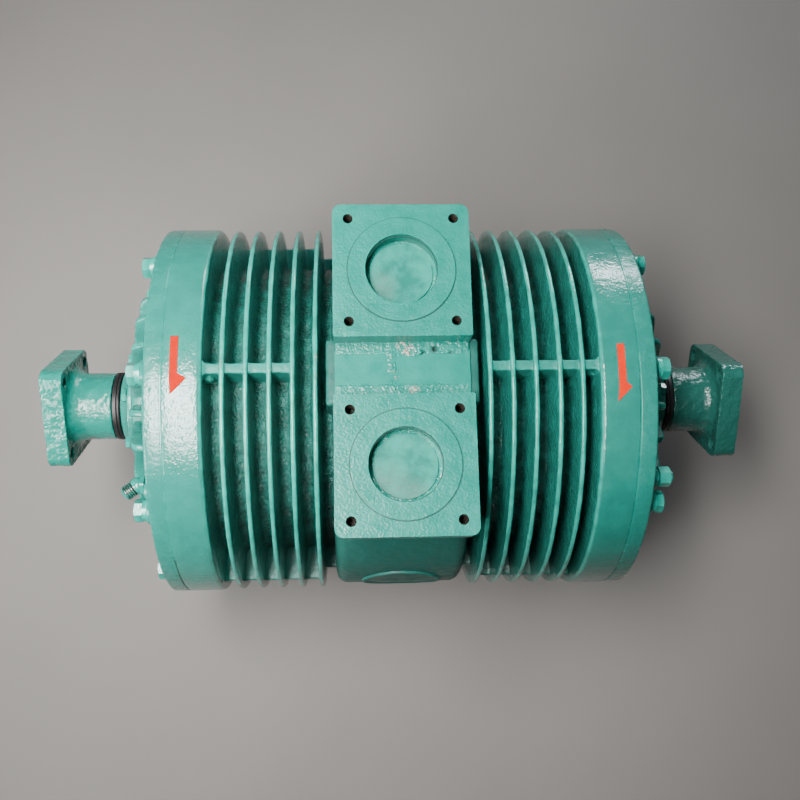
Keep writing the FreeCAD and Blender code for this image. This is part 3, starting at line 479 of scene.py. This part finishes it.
# a shaded copy of the teal: the drum, its necks and pads are painted darker as shade
M_DRUM = paint("teal_drum_painted_shade", peel=0.36, grain=0.36, coarse=0.06, gloss=0.40, tint=0.60, chalk=0.026, spec=0.14, coat=0.0)
M_BAND = paint("teal_band", peel=0.45, grain=1.0, coarse=0.14, gloss=0.34, tint=1.02, spec=0.36, coat=0.10,
               chips=BAND, scuff=0.49, pits=[((0.0200, 0.0125, 0.453), 0.0050), ((0.0325, 0.0170, 0.453), 0.0055),
                                             ((0.0490, 0.0110, 0.453), 0.0050)])
M_ROUGH = paint("teal_rough", peel=0.50, grain=0.95, coarse=0.70, gloss=0.20)
# a copy of the rough teal painted darker as shade, for the right drive flange
M_SHADE = paint("teal_rough_painted_shade", peel=0.50, grain=0.95, coarse=0.70, gloss=0.24, tint=0.86, chalk=0.022, spec=0.40)
M_BOLT = paint("teal_bolts", peel=0.30, grain=0.25, gloss=0.20, edge_wear_and_sheen=1.4)
M_DISC = paint("teal_overspray", peel=0.30, grain=0.10, gloss=0.50, dust=0.34, tint=0.70, spec=0.16, coat=0.05,
               haze=[((-0.020, -0.126, 0.455), 0.034), ((0.012, -0.134, 0.455), 0.022),
                     ((-0.022, 0.080, 0.455), 0.024)])
M_ORANGE = plain("arrow_orange", (0.74, 0.026, 0.003), (0.66, 0.020, 0.002), 0.0, 0.78, 60, 0.12, 0.20)
M_ORANGE.node_tree.nodes["Principled BSDF"].inputs["Specular IOR Level"].default_value = 0.03
# a shaded copy of the orange for the left arrow, painted darker against the stronger light that falls on it
M_ORANGE_LIT = plain("arrow_orange_lit", (0.46, 0.013, 0.002), (0.41, 0.010, 0.002), 0.0, 0.78, 60, 0.12, 0.20)
M_ORANGE_LIT.node_tree.nodes["Principled BSDF"].inputs["Specular IOR Level"].default_value = 0.03
M_RUBBER = plain("black_rubber", (0.012, 0.012, 0.012), (0.004, 0.004, 0.005), 0.0, 0.48, 90, 0.15, 0.3)
M_GASKET = plain("gasket_fibre", (0.10, 0.085, 0.06), (0.05, 0.04, 0.03), 0.0, 0.85, 200, 0.1, 0.3)
M_STEEL = plain("turned_steel", (0.62, 0.62, 0.60), (0.42, 0.42, 0.41), 1.0, 0.30, 80, 0.06, 0.2,
                stretch=(8, 1, 1))
M_ZINC = plain("zinc_steel", (0.60, 0.61, 0.60), (0.40, 0.41, 0.40), 1.0, 0.38, 150, 0.08, 0.2)
M_RACE = plain("ground_steel", (0.72, 0.72, 0.71), (0.55, 0.55, 0.55), 1.0, 0.14, 80, 0.03, 0.1)
M_BRASS = plain("machined_brass", (0.80, 0.55, 0.22), (0.60, 0.38, 0.14), 1.0, 0.30, 80, 0.05, 0.2)
M_IRON = plain("bare_iron", (0.28, 0.27, 0.26), (0.16, 0.155, 0.15), 1.0, 0.45, 70, 0.15, 0.3)
M_VANE = plain("vane_laminate", (0.36, 0.22, 0.09), (0.24, 0.14, 0.055), 0.0, 0.55, 220, 0.1, 0.3,
               stretch=(1, 1, 6))
# painted shade: dark lines round the raised faces and just inside the port bores
M_SHADE_LINE = plain("painted_shade_line", (0.003, 0.070, 0.055), (0.002, 0.040, 0.032), 0.0, 0.65, 90, 0.1, 0.3)
M_TAP = plain("tapped_hole", (0.06, 0.045, 0.035), (0.02, 0.016, 0.013), 0.6, 0.5, 300, 0.1, 0.3)

SLOTS = {
    "painted_cast_iron": M_CAST, "painted_fasteners": M_BOLT, "painted_disc": M_DISC,
    "signal_orange": M_ORANGE, "black_rubber": M_RUBBER, "gasket_paper": M_GASKET,
    "bearing_steel": M_RACE, "bearing_brass": M_BRASS, "machined_steel": M_STEEL,
    "zinc_steel": M_ZINC, "bare_cast_iron": M_IRON, "vane_composite": M_VANE,
}
for part in frame["record"]["subparts"]:
    ob = NODES[part["node"]]
    ob.data.materials.clear()
    ob.data.materials.append(SLOTS[part["material_slot"]])


def dress(ob, mat, body="base"):
    ob.data.materials.clear()
    ob.data.materials.append(mat)
    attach(ob, body)
    return ob


# ------------------------------------------------------------------ finned cylinder
profile = [(-L, 150.0, 0), (-L, RING, 1.6), (-RI, RING, 4.5), (-RI + 2.2, RG, 5.0)]
for x in [-f for f in FINS_LEFT] + [None] + FINS_RIGHT:
    if x is None:
        profile += [(-64.0, RG, 3.0), (-60.0, RG - 8.0, 2.0), (60.0, RG - 8.0, 2.0), (64.0, RG, 3.0)]
        continue
    profile += [(x - 5.4, RG, 6.0), (x - 2.35, 214.6, 2.1), (x + 2.35, 214.6, 2.1), (x + 5.4, RG, 6.0)]
profile += [(RI - 2.2, RG, 5.0), (RI, RING, 4.5), (L, RING, 1.6), (L, 150.0, 0)]


def casing_rough(x, r):
    if abs(x) > RI + 1.0 and r > 205:
        return 0.0, 0.03
    depth = max(0.0, min(1.0, (214.6 - r) / 20.0))
    return 0.35 + 0.75 * depth, 0.055


bm = bmesh.new()
line = split_long(round_profile(profile, 4), 9.0)
line.append((L, 150.0))
lathe(bm, line + [(x, 150.0) for x in (120.0, 0.0, -120.0)], 320, rough=casing_rough, closed=True)
fins = from_bm("finned_cylinder", bm, 60.0)
dress(fins, M_FINS)

# ------------------------------------------------------------------ webs between fins
def web(bm, xa, xb, angle, top, half=5.2):
    """A bar between two fins, flared into them, with rounded edges and a slight sag."""
    steps = 8
    sect_n = [(-1, 0), (-1, 0.72), (-0.94, 0.90), (-0.78, 0.985), (-0.5, 1), (0.5, 1), (0.78, 0.985),
              (0.94, 0.90), (1, 0.72), (1, 0)]
    rows = []
    low = 150.0
    for k in range(steps + 1):
        f = k / steps
        x = xa + (xb - xa) * f
        edge = min(f, 1 - f) * abs(xb - xa)
        flare = max(0.0, 1 - edge / 5.0) ** 2 * 3.4
        sag = (1 - max(0.0, 1 - edge / 6.0) ** 2) * 1.3
        row = []
        for u, w in sect_n:
            y = u * (half + flare)
            depth = (top - sag - low) * (0.55 + 0.45 * w) if w > 0 else 0.0
            z = low + depth if w > 0 else low
            if w > 0:
                z = (top - sag) - (1 - w) * 9.0
            q = Vector((x, y, z)) * 0.09
            n = noise.noise(q + Vector((angle, 0, 0))) * 0.5
            p = Vector((x, y + n * 0.5, z + n * 0.6 if w > 0 else z))
            p = Matrix.Rotation(math.radians(angle), 3, "X") @ p
            row.append(bm.verts.new((p.x * MM, p.y * MM, (p.z + H) * MM)))
        rows.append(row)
    m = len(sect_n)
    for a, b in zip(rows, rows[1:]):
        for i in range(m):
            j = (i + 1) % m
            bm.faces.new((a[i], a[j], b[j], b[i]))
    bm.faces.new(rows[0])
    bm.faces.new(list(reversed(rows[-1])))


bm = bmesh.new()
left_x = [-RI] + [-f for f in FINS_LEFT]
right_x = FINS_RIGHT + [RI]
for xs, crest in ((left_x, left_x[:5]), (right_x, right_x)):
    for a, b in zip(crest, crest[1:]):
        web(bm, a, b, 0.0, 211.5)
    for angle in (90.0, -90.0, 180.0):
        for a, b in zip(xs, xs[1:]):
            web(bm, a, b, angle, 207.0 if angle != 180.0 else 211.0)
for xa, xb in ((-FINS_LEFT[4], -66.0), (66.0, FINS_RIGHT[0])):
    for angle in (90.0, -90.0, 180.0):
        web(bm, xa, xb, angle, 194.0)
for s, size in ((-1, 1.0), (1, 0.72)):
    for k in (0,):
        # a lump left by the casting beside the top web
        a = math.radians(45.0 * k)
        part = bmesh.new()
        boss = round_profile([(-205.0, 11.5 * size, 0), (-200.5, 10.6 * size, 2.0), (-193.5, 9.6 * size, 3.2),
                              (-192.6, 0.0, 0)], 5)
        lathe(part, split_long(boss, 2.5), 28, z0=H + 190.0 * math.cos(a), y0=190.0 * math.sin(a),
              rough=lambda x, r: (1.5, 0.34))
        if s > 0:
            bmesh.ops.transform(part, matrix=Matrix.Scale(-1.0, 4, Vector((1, 0, 0))), verts=part.verts[:])
        tmp = bpy.data.meshes.new("boss")
        part.to_mesh(tmp)
        part.free()
        bm.from_mesh(tmp)
        bpy.data.meshes.remove(tmp)
webs = from_bm("fin_webs", bm, 50.0)
dress(webs, M_WEBS)

# ------------------------------------------------------------------ drum with port necks
bm = bmesh.new()
lathe(bm, round_profile([(-73.5, 150, 0), (-73.5, 168, 0), (-72, 211, 13.0), (72, 211, 13.0),
                         (73.5, 168, 0), (73.5, 150, 0)], 6), 240, closed=True)
for sx in (-1, 1):
    rounded_box(bm, min(sx * 50.0, sx * 79.0), max(sx * 50.0, sx * 79.0), -40.0, 30.0, 160.0, 209.5, bevel=4.0,
                segments=4)
for yc, s in ((INLET_Y, 1), (OUTLET_Y, -1)):
    inner, outer = yc - s * 69.6, yc + s * 62.0
    ya, yb = min(inner, outer), max(inner, outer)
    rounded_box(bm, -66.5, 66.5, ya, yb, 100.0, 214.0, bevel=12.0, segments=5)
drum = from_bm("drum_and_necks", bm, 60.0)
cast_modifiers(drum, 1.8, smooth=4, coarse=0.8, fine=0.45)
baked(drum)
for v in drum.data.vertices:
    # nothing of the necks stands inside the bore
    reach = math.hypot(v.co.y, v.co.z - H * MM)
    if reach < 0.1508:
        v.co.y *= 0.1508 / reach
        v.co.z = H * MM + (v.co.z - H * MM) * 0.1508 / reach
finish_mesh(drum.data, 60.0)
# the drum takes the teal copy painted darker as shade
dress(drum, M_DRUM)

bm = bmesh.new()
rounded_box(bm, -69.5, 69.5, 11.0, 28.0, 204.0, 213.6, bevel=2.5)
rounded_box(bm, -69.5, 69.5, -40.0, -17.5, 204.0, 213.3, bevel=2.5)
rounded_box(bm, -17.5, -4.5, -9.0, 28.0, 204.0, 213.6, bevel=3.0)
rounded_box(bm, -8.0, 16.0, 8.0, 28.0, 204.0, 213.4, bevel=3.0)
rounded_box(bm, -16.0, -5.0, -40.0, -13.0, 204.0, 213.2, bevel=3.0)
rounded_box(bm, 9.0, 22.0, 10.0, 28.0, 204.0, 214.0, bevel=2.5)
band = from_bm("band_casting", bm, 60.0)
cast_modifiers(band, 0.8, smooth=2, coarse=0.8, fine=0.0)
for tex, amount in ((CAST_FINE, 0.5), (CAST_STIPPLE, 1.1)):
    dis = band.modifiers.new("stipple_" + tex.name, "DISPLACE")
    dis.texture = tex
    dis.texture_coords = "LOCAL"
    dis.strength = amount * MM
    dis.mid_level = 0.9
baked(band)
finish_mesh(band.data, 60.0)
dress(band, M_BAND)
land = plate("band_land", rounded_rect(-69.0, 69.0, -30.0, 18.0, (3, 3, 3, 3), 6), [],
             H + 205.0, H + 212.0, bevel=2.2, rim=5)
dress(land, M_LAND)

# ------------------------------------------------------------------ port flanges
for tag, yc, s in (("inlet", INLET_Y, 1), ("outlet", OUTLET_Y, -1)):
    radii = (1.6, 1.6, 9.0, 9.0) if s > 0 else (9.0, 9.0, 1.6, 1.6)
    outline = rounded_rect(-70.0, 70.0, yc - 70.0, yc + 70.0, radii, 8)
    holes = [circle_pts(0.0, yc, 36.8, 72)]
    for sx in (-1, 1):
        for sy in (-1, 1):
            holes.append(circle_pts(sx * 54.0, yc + sy * 54.5, 5.15, 24))
    top = plate(tag + "_flange_plate", outline, holes, H + 211.0, H + 236.0, bevel=0.9)
    dress(top, M_FLANGE)
    face = bmesh.new()
    ring = round_profile([(-3.0, 36.8, 0), (1.8, 36.8, 0.5), (1.8, 38.6, 0), (1.8, 52.8, 0), (1.8, 54.6, 0.35), (-3.0, 54.9, 0)], 3)
    n = 96
    rows = [[face.verts.new(((r * math.sin(2 * math.pi * k / n)) * MM,
                             (yc + r * math.cos(2 * math.pi * k / n)) * MM,
                             (H + 236.0 + x) * MM)) for x, r in ring] for k in range(n)]
    m = len(ring)
    for k in range(n):
        a, b = rows[k], rows[(k + 1) % n]
        for i in range(m):
            j = (i + 1) % m
            face.faces.new((a[i], a[j], b[j], b[i]))
    raised = from_bm(tag + "_raised_face", face, 25.0)
    flat = raised.modifiers.new("flat_faces", "WEIGHTED_NORMAL")
    flat.keep_sharp = True
    flat.weight = 100
    dress(raised, M_FLANGE)
    # painted shade: a dark line round the foot of the raised face and a dark band just inside the bore
    line = bmesh.new()
    for r0, r1, z in ((54.6, 55.75, 236.06), (35.9, 36.9, 233.2)):
        rows = [[line.verts.new((r * math.sin(2 * math.pi * k / n) * MM,
                                 (yc + r * math.cos(2 * math.pi * k / n)) * MM, (H + zz) * MM))
                 for r, zz in ((r0, z - 0.8), (r0, z), (r1, z), (r1, z - 0.8))] for k in range(n)]
        for k in range(n):
            a, b = rows[k], rows[(k + 1) % n]
            for i in range(4):
                j = (i + 1) % 4
                line.faces.new((a[i], a[j], b[j], b[i]))
    dress(from_bm(tag + "_painted_shade_line", line, 30.0), M_SHADE_LINE)
    # seat below the disc, and dark threads in the tapped holes
    seat = bmesh.new()
    bmesh.ops.create_cone(seat, cap_ends=True, segments=64, radius1=38.0 * MM, radius2=38.0 * MM,
                          depth=6.0 * MM, matrix=Matrix.Translation((0, yc * MM, (H + 215.0) * MM)))
    dress(from_bm(tag + "_port_seat", seat, 30.0), M_ROUGH)
    thread = bmesh.new()
    for sx in (-1, 1):
        for sy in (-1, 1):
            cx, cy = sx * 54.0, yc + sy * 54.5
            turns, per, depth = 13, 20, 22.0
            rows = []
            for k in range(turns * 2 + 1):
                z = H + 236.0 - 1.2 - depth * k / (turns * 2)
                r = 5.16 if k % 2 == 0 else 4.45
                rows.append([thread.verts.new(((cx + r * math.cos(2 * math.pi * j / per)) * MM,
                                               (cy + r * math.sin(2 * math.pi * j / per)) * MM,
                                               (z + depth / turns * j / per) * MM)) for j in range(per)])
            for a, b in zip(rows, rows[1:]):
                for j in range(per):
                    thread.faces.new((a[j], a[(j + 1) % per], b[(j + 1) % per], b[j]))
            thread.faces.new(rows[-1])
    dress(from_bm(tag + "_tapped_threads", thread, 20.0), M_TAP)

# ------------------------------------------------------------------ blank oval pad
bm = bmesh.new()
nu, nv = 72, 9
cx, cz, ax, az = 2.0, 30.0, 46.0, 34.0
rows = []
for k, (f, h) in enumerate(((0.0, 0.9), (0.35, 0.9), (0.70, 0.9), (0.86, 0.9), (0.895, 1.7), (0.925, 2.4),
                            (0.955, 2.4), (0.98, 1.6), (1.0, -1.5))):
    row = []
    for j in range(nu):
        a = 2 * math.pi * j / nu
        x = cx + ax * f * math.cos(a)
        z = cz + az * f * math.sin(a)
        ang = math.asin(max(-0.999, min(0.999, z / 211.0)))
        r = 210.6 + h
        row.append(bm.verts.new((x * MM, -r * math.cos(ang) * MM, (H + r * math.sin(ang)) * MM)))
    rows.append(row)
for a, b in zip(rows, rows[1:]):
    for j in range(nu):
        bm.faces.new((a[j], a[(j + 1) % nu], b[(j + 1) % nu], b[j]))
bmesh.ops.remove_doubles(bm, verts=bm.verts[:], dist=1e-6)
dress(from_bm("blank_oval_pad", bm, 40.0), M_DRUM)

# ------------------------------------------------------------------ feet
bm = bmesh.new()
for sx in (-1, 1):
    for sy in (-1, 1):
        def sp(lo, hi, s):
            return (lo, hi) if s > 0 else (-hi, -lo)
        xa, xb = sp(203.6, 241.5, sx)
        ya, yb = sp(108.0, 185.0, sy)
        rounded_box(bm, xa, xb, ya, yb, -232.0, -113.0, bevel=3.0)
        xa, xb = sp(168.0, 232.0, sx)
        ya, yb = sp(114.0, 128.0, sy)
        rounded_box(bm, xa, xb, ya, yb, -232.0, -160.0, bevel=3.0)
feet = from_bm("foot_blocks", bm, 60.0)
cast_modifiers(feet, 2.4, smooth=3, coarse=1.2, fine=0.5)
baked(feet)
finish_mesh(feet.data, 60.0)
dress(feet, M_CAST)
for name, sx, sy in (("front_left", -1, -1), ("front_right", 1, -1), ("rear_left", -1, 1),
                     ("rear_right", 1, 1)):
    xa, xb = (165.0, 241.5) if sx > 0 else (-241.5, -165.0)
    ya, yb = (102.0, 190.0) if sy > 0 else (-190.0, -102.0)
    foot = plate("foot_pad_" + name, rounded_rect(xa, xb, ya, yb, (7, 7, 7, 7), 6),
                 [circle_pts(sx * 184.0, sy * 162.0, 9.0, 40)], 0.0, 18.0, bevel=1.6, rim=3)
    dress(foot, M_CAST)
bm = bmesh.new()
lathe(bm, round_profile([(0, 0.0, 0), (0, 19.5, 2.0), (20, 19.5, 0), (20, 0.0, 0)], 3), 48, z0=0)
for v in bm.verts:
    v.co = Vector((v.co.z, v.co.y, v.co.x + (H - 217.8) * MM))
dress(from_bm("drain_boss", bm, 40.0), M_CAST)
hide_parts("casing")

# ------------------------------------------------------------------ end covers
def side_matrix(left):
    return Matrix.Rotation(math.pi, 4, "Z") if left else Matrix.Identity(4)


for side, left in (("left", True), ("right", False)):
    front = 1 if left else -1
    bm = bmesh.new()
    disc = round_profile([(243.0, 28.0, 0), (243.0, 216.0, 1.0), (261.0, 216.0, 2.6), (261.0, 150.0, 3),
                          (261.5, 60.0, 0)], 4)
    lathe(bm, split_long(disc, 12.0), 256,
          rough=lambda x, r: ((0.0, 0.05) if r > 212 else (0.5, 0.06)))
    hub = round_profile([(258.0, 86.0, 0), (261.5, 83.0, 5.0), (270.0, 72.5, 6.0), (296.5, 70.0, 0.5),
                         (298.0, 68.5, 0.5), (298.0, 45.0, 0.5), (292.5, 44.9, 0)], 5)
    lathe(bm, split_long(hub, 8.0), 160, z0=H + E, rough=lambda x, r: (0.45, 0.07))
    for k in range(24):
        ang = math.radians(15.0 * k)
        rows = []
        sect = [(-1, 0.0), (-1, 0.62), (-0.90, 0.84), (-0.62, 0.97), (0, 1.0), (0.62, 0.97), (0.90, 0.84),
                (1, 0.62), (1, 0.0)]
        spine = [(64, 297.0), (72, 296.0), (84, 293.8), (100, 291.2), (118, 288.2), (130, 286.2),
                 (137, 284.6), (141.0, 281.0), (143.6, 275.0), (145.5, 267.0), (147.0, 259.0)]
        for r, x in spine:
            half = 3.9 + (1.2 if r < 76 else 0.0)
            if r > 138:
                half = 3.9 - (r - 138) * 0.10
            row = []
            for u, w in sect:
                base = 258.0
                px = base + (x - base) * 1.0 if w >= 1 else (base if w == 0 else x - (1 - w) * 7.5)
                px = max(px, base)
                q = Vector((px, r * math.cos(ang), r * math.sin(ang))) * 0.07
                n = noise.noise(q) * 0.45
                y = u * half
                yy = r * math.sin(ang) + y * math.cos(ang)
                zz = r * math.cos(ang) - y * math.sin(ang)
                row.append(bm.verts.new(((px + (n if w > 0 else 0)) * MM, (yy + n * 0.4) * MM,
                                         (zz + H + E) * MM)))
            rows.append(row)
        m = len(sect)
        for a, b in zip(rows, rows[1:]):
            for i in range(m - 1):
                bm.faces.new((a[i], a[i + 1], b[i + 1], b[i]))
        bm.faces.new(rows[0])
        bm.faces.new(list(reversed(rows[-1])))
    for k in range(8):
        a = math.radians(45.0 * k)
        lathe(bm, round_profile([(258.0, 17.5, 0), (261.3, 16.0, 2.0), (266.6, 14.4, 1.0), (266.6, 7.0, 0)], 4),
              40, z0=H + 190.0 * math.cos(a), y0=190.0 * math.sin(a))
    lathe(bm, round_profile([(258.0, 14.0, 0), (261.3, 12.6, 1.5), (267.0, 11.0, 0.8), (267.0, 6.0, 0)], 4),
          36, z0=H + 150.0, y0=front * 114.0)
    bmesh.ops.transform(bm, matrix=side_matrix(left), verts=bm.verts[:])
    cover = from_bm(side + "_cover_casting", bm, 45.0)
    dress(cover, M_CAST)
    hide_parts(side + "_end_cover")

# ------------------------------------------------------------------ oil elbow on the left cover
seat = 261.0 + 6.0
elbow = bmesh.new()


def turned_on(bm, profile, origin, way, segments=48):
    """Turn (distance along way, radius) about a line through origin, all in mm."""
    rot = way.to_track_quat("X", "Z").to_matrix()
    rows = []
    for j in range(segments):
        a = 2 * math.pi * j / segments
        rows.append([bm.verts.new((origin + rot @ Vector((x, r * math.cos(a), r * math.sin(a)))) * MM)
                     for x, r in profile])
    for j in range(segments):
        p, q = rows[j], rows[(j + 1) % segments]
        for i in range(len(profile) - 1):
            bm.faces.new((p[i], p[i + 1], q[i + 1], q[i]))
    bmesh.ops.remove_doubles(bm, verts=[v for r in rows for v in r], dist=1e-7)


base_point = Vector((-seat, -110.0, H + 152.0))
out = Vector((-1.0, 0.0, 0.0))
way = Vector((-1.0, -0.70, 0.0)).normalized()
bend = base_point + out * 8.0
turned_on(elbow, round_profile([(-11.0, 0.0, 0), (-11.0, 5.9, 0.5), (0.3, 5.9, 0), (0.3, 10.4, 0.6), (4.0, 10.4, 0.8),
                                (4.4, 8.1, 1.0), (8.0, 8.1, 0)], 3), base_point, out, 6 * 8)
turned_on(elbow, [(8.95 * -math.cos(math.pi * k / 20), max(0.0, 8.95 * math.sin(math.pi * k / 20)))
                  for k in range(21)], bend, way)
threads = [(0.0, 8.2), (4.2, 8.2), (4.8, 7.2)]
for k in range(4):
    threads += [(5.0 + 2.3 * k, 6.5), (6.1 + 2.3 * k, 6.5), (6.4 + 2.3 * k, 8.35), (6.9 + 2.3 * k, 8.35),
                (7.2 + 2.3 * k, 6.6)]
threads += [(14.7, 6.6), (14.9, 7.6), (17.1, 5.1), (17.4, 4.7), (17.3, 3.2), (9.0, 3.0), (9.0, 0.0)]
turned_on(elbow, threads, bend, way)
for v in elbow.verts:
    d = v.co / MM - base_point
    along = d.dot(out)
    if -0.5 < along < 4.2 and Vector((0.0, d.y, d.z)).length > 9.0:
        ang = math.atan2(d.z, d.y)
        near = round(ang / (math.pi / 3)) * (math.pi / 3)
        flat = min(9.5 / math.cos(ang - near), 10.6)
        v.co = (base_point + out * along + Vector((0.0, d.y, d.z)).normalized() * flat) * MM
elbow_ob = from_bm("oil_elbow", elbow, 35.0)
dress(elbow_ob, M_BOLT)
# painted shade: the thread roots take the dark tapped-hole material
elbow_ob.data.materials.append(M_TAP)
for poly in elbow_ob.data.polygons:
    d = poly.center / MM - bend
    along = d.dot(way)
    if 4.6 < along < 14.8 and (d - way * along).length < 7.8:
        poly.material_index = 1
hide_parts("oil_nipple")

# ------------------------------------------------------------------ direction arrows
ARROWS = {
    "left_rotation_arrow": [(-233.9, 33), (-225.9, 33), (-225.9, -6), (-217.0, -11), (-233.0, -27.5),
                            (-233.9, -10)],
    "right_rotation_arrow": [(220.4, 20.4), (228.2, 20.4), (228.2, -20.0), (233.9, -25), (219.0, -39.9),
                             (220.4, -24.4)],
}
for node, outline in ARROWS.items():
    bm = bmesh.new()
    bm.faces.new([bm.verts.new((x * MM, y * MM, 0.0)) for x, y in outline])
    for k in range(-45, 40):
        bmesh.ops.bisect_plane(bm, geom=bm.verts[:] + bm.edges[:] + bm.faces[:], dist=1e-7,
                               plane_co=(0.0, k * 1.0 * MM + 0.3 * MM, 0.0), plane_no=(0.0, 1.0, 0.0))
    made = bmesh.ops.extrude_face_region(bm, geom=bm.faces[:])
    upper = {g for g in made["geom"] if isinstance(g, bmesh.types.BMVert)}
    for v in bm.verts:
        r = 216.38 if v in upper else 215.6
        y = v.co.y / MM
        v.co.z = (H + math.sqrt(r * r - y * y)) * MM
    mark = from_bm(node.replace("rotation_arrow", "painted_arrow"), bm, 40.0)
    # the left arrow takes the orange copy painted darker as shade
    dress(mark, M_ORANGE_LIT if node.startswith("left") else M_ORANGE)
    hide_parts(node)

# ------------------------------------------------------------------ paint that bridges the cover joints
for side, s in (("left", -1), ("right", 1)):
    bm = bmesh.new()
    rows = []
    for k in range(0, 361):
        deg = float(k)
        gap = 247.0 < deg < 301.0
        r = 214.9 if gap else 215.90 + 0.05 * math.sin(k * 0.9) + 0.04 * math.sin(k * 0.37)
        a = math.radians(deg)
        rows.append([bm.verts.new((s * x * MM, rr * math.sin(a) * MM, (H + rr * math.cos(a)) * MM))
                     for x, rr in ((242.1, r - 1.5), (242.1, r), (242.75, r - 0.06), (243.4, r), (243.4, r - 1.5))])
    for a, b in zip(rows, rows[1:]):
        for i in range(4):
            bm.faces.new((a[i], a[i + 1], b[i + 1], b[i]))
    dress(from_bm(side + "_joint_paint", bm, 60.0), M_SMOOTH)

# ------------------------------------------------------------------ CAD pieces that stay
for side in ("left", "right"):
    cast_modifiers(NODES[side + "_drive_flange"], 1.25, smooth=3, coarse=1.3, fine=0.7)
    # the right drive flange takes the copy painted darker as shade
    NODES[side + "_drive_flange"].data.materials[0] = M_ROUGH if side == "left" else M_SHADE
    cast_modifiers(NODES[side + "_bearing_cap"], 1.1, smooth=3, coarse=0.7, fine=0.4)
    NODES[side + "_bearing_cap"].data.materials[0] = M_CAST
    for name in ("_cover_bolts", "_cap_screws", "_flat_washers", "_spring_washers"):
        bev = NODES[side + name].modifiers.new("soft_edges", "BEVEL")
        bev.width = 0.0005
        bev.segments = 2
        bev.limit_method = "ANGLE"
        bev.angle_limit = math.radians(28)

# ------------------------------------------------------------------ room, light, camera
bm = bmesh.new()
bmesh.ops.create_grid(bm, x_segments=8, y_segments=8, size=6.0)
floor = from_bm("floor", bm)
mat, nt, bsdf = nodes_of("pale_floor")
coord = add(nt, "ShaderNodeTexCoord").outputs["Object"]
shade = mix_color(nt, ramp(nt, noise_node(nt, coord, 1.5, 3.0), 0.3, 0.7), (0.150, 0.141, 0.132),
                  (0.178, 0.167, 0.157))
nt.links.new(shade, bsdf.inputs["Base Color"])
bsdf.inputs["Roughness"].default_value = 0.85
floor.data.materials.append(mat)


def area(name, loc, target, size, power, colour=(1, 1, 1), size_y=None, spread=180.0,
         upright=False):
    light = bpy.data.lights.new(name, "AREA")
    light.energy = power
    light.color = colour
    light.size = size
    if size_y:
        light.shape = "RECTANGLE"
        light.size_y = size_y
    ob = bpy.data.objects.new(name, light)
    bpy.context.scene.collection.objects.link(ob)
    ob.location = loc
    ob.visible_camera = False
    ob.rotation_euler = (Vector(target) - Vector(loc)).to_track_quat("-Z", "Y").to_euler()
    light.spread = math.radians(spread)
    if upright:
        z = (Vector(loc) - Vector(target)).normalized()
        x = Vector((0.0, 1.0, 0.0)).cross(z).normalized()
        ob.rotation_euler = Matrix((x, z.cross(x), z)).transposed().to_euler()
    return ob


# the tube over the left end, once for the light it throws and once, further to the front, for
# the long glint that it leaves on the gloss paint
strip = area("strip_left", (-0.45, -0.10, 1.78), (-0.40, -0.04, 0.35), 0.34, 31, (1.0, 0.99, 0.97), 1.10,
             spread=112.0, upright=True)
strip.visible_glossy = False
glint = area("strip_glint", (-0.45, -0.42, 1.78), (-0.40, -0.36, 0.35), 0.34, 36, (1.0, 0.99, 0.97), 1.26,
             spread=112.0, upright=True)
glint.visible_diffuse = False
soft = area("soft_top", (-0.2, 0.7, 2.9), (0, 0, 0.3), 1.0, 15, (1.0, 1.0, 1.0))
soft.visible_glossy = False
area("window_back", (0.98, 2.75, 0.95), (0.15, 0.1, 0.40), 1.1, 50, (0.86, 0.94, 1.0), 0.24)
area("panel_front", (-1.05, -0.55, 0.95), (-0.42, -0.02, 0.32), 0.36, 2.0, (1.0, 1.0, 1.0), 0.36, spread=55.0)
world = bpy.data.worlds.new("studio")
bpy.context.scene.world = world
world.use_nodes = True
bg = world.node_tree.nodes["Background"]
bg.inputs["Color"].default_value = (0.80, 0.86, 0.90, 1.0)
bg.inputs["Strength"].default_value = 0.024

cam_data = bpy.data.cameras.new("camera")
cam_data.lens = 948.3 * 36.0 / 800.0
cam_data.sensor_width = 36.0
cam_data.clip_start = 0.01
cam = bpy.data.objects.new("camera", cam_data)
bpy.context.scene.collection.objects.link(cam)
cam.matrix_world = Matrix((
    (0.99870, 0.01242, -0.04947, -0.0508),
    (-0.02241, 0.97810, -0.20694, -0.2332),
    (0.04581, 0.20778, 0.97710, 1.1454 + 0.240),
    (0, 0, 0, 1)))
bpy.context.scene.camera = cam
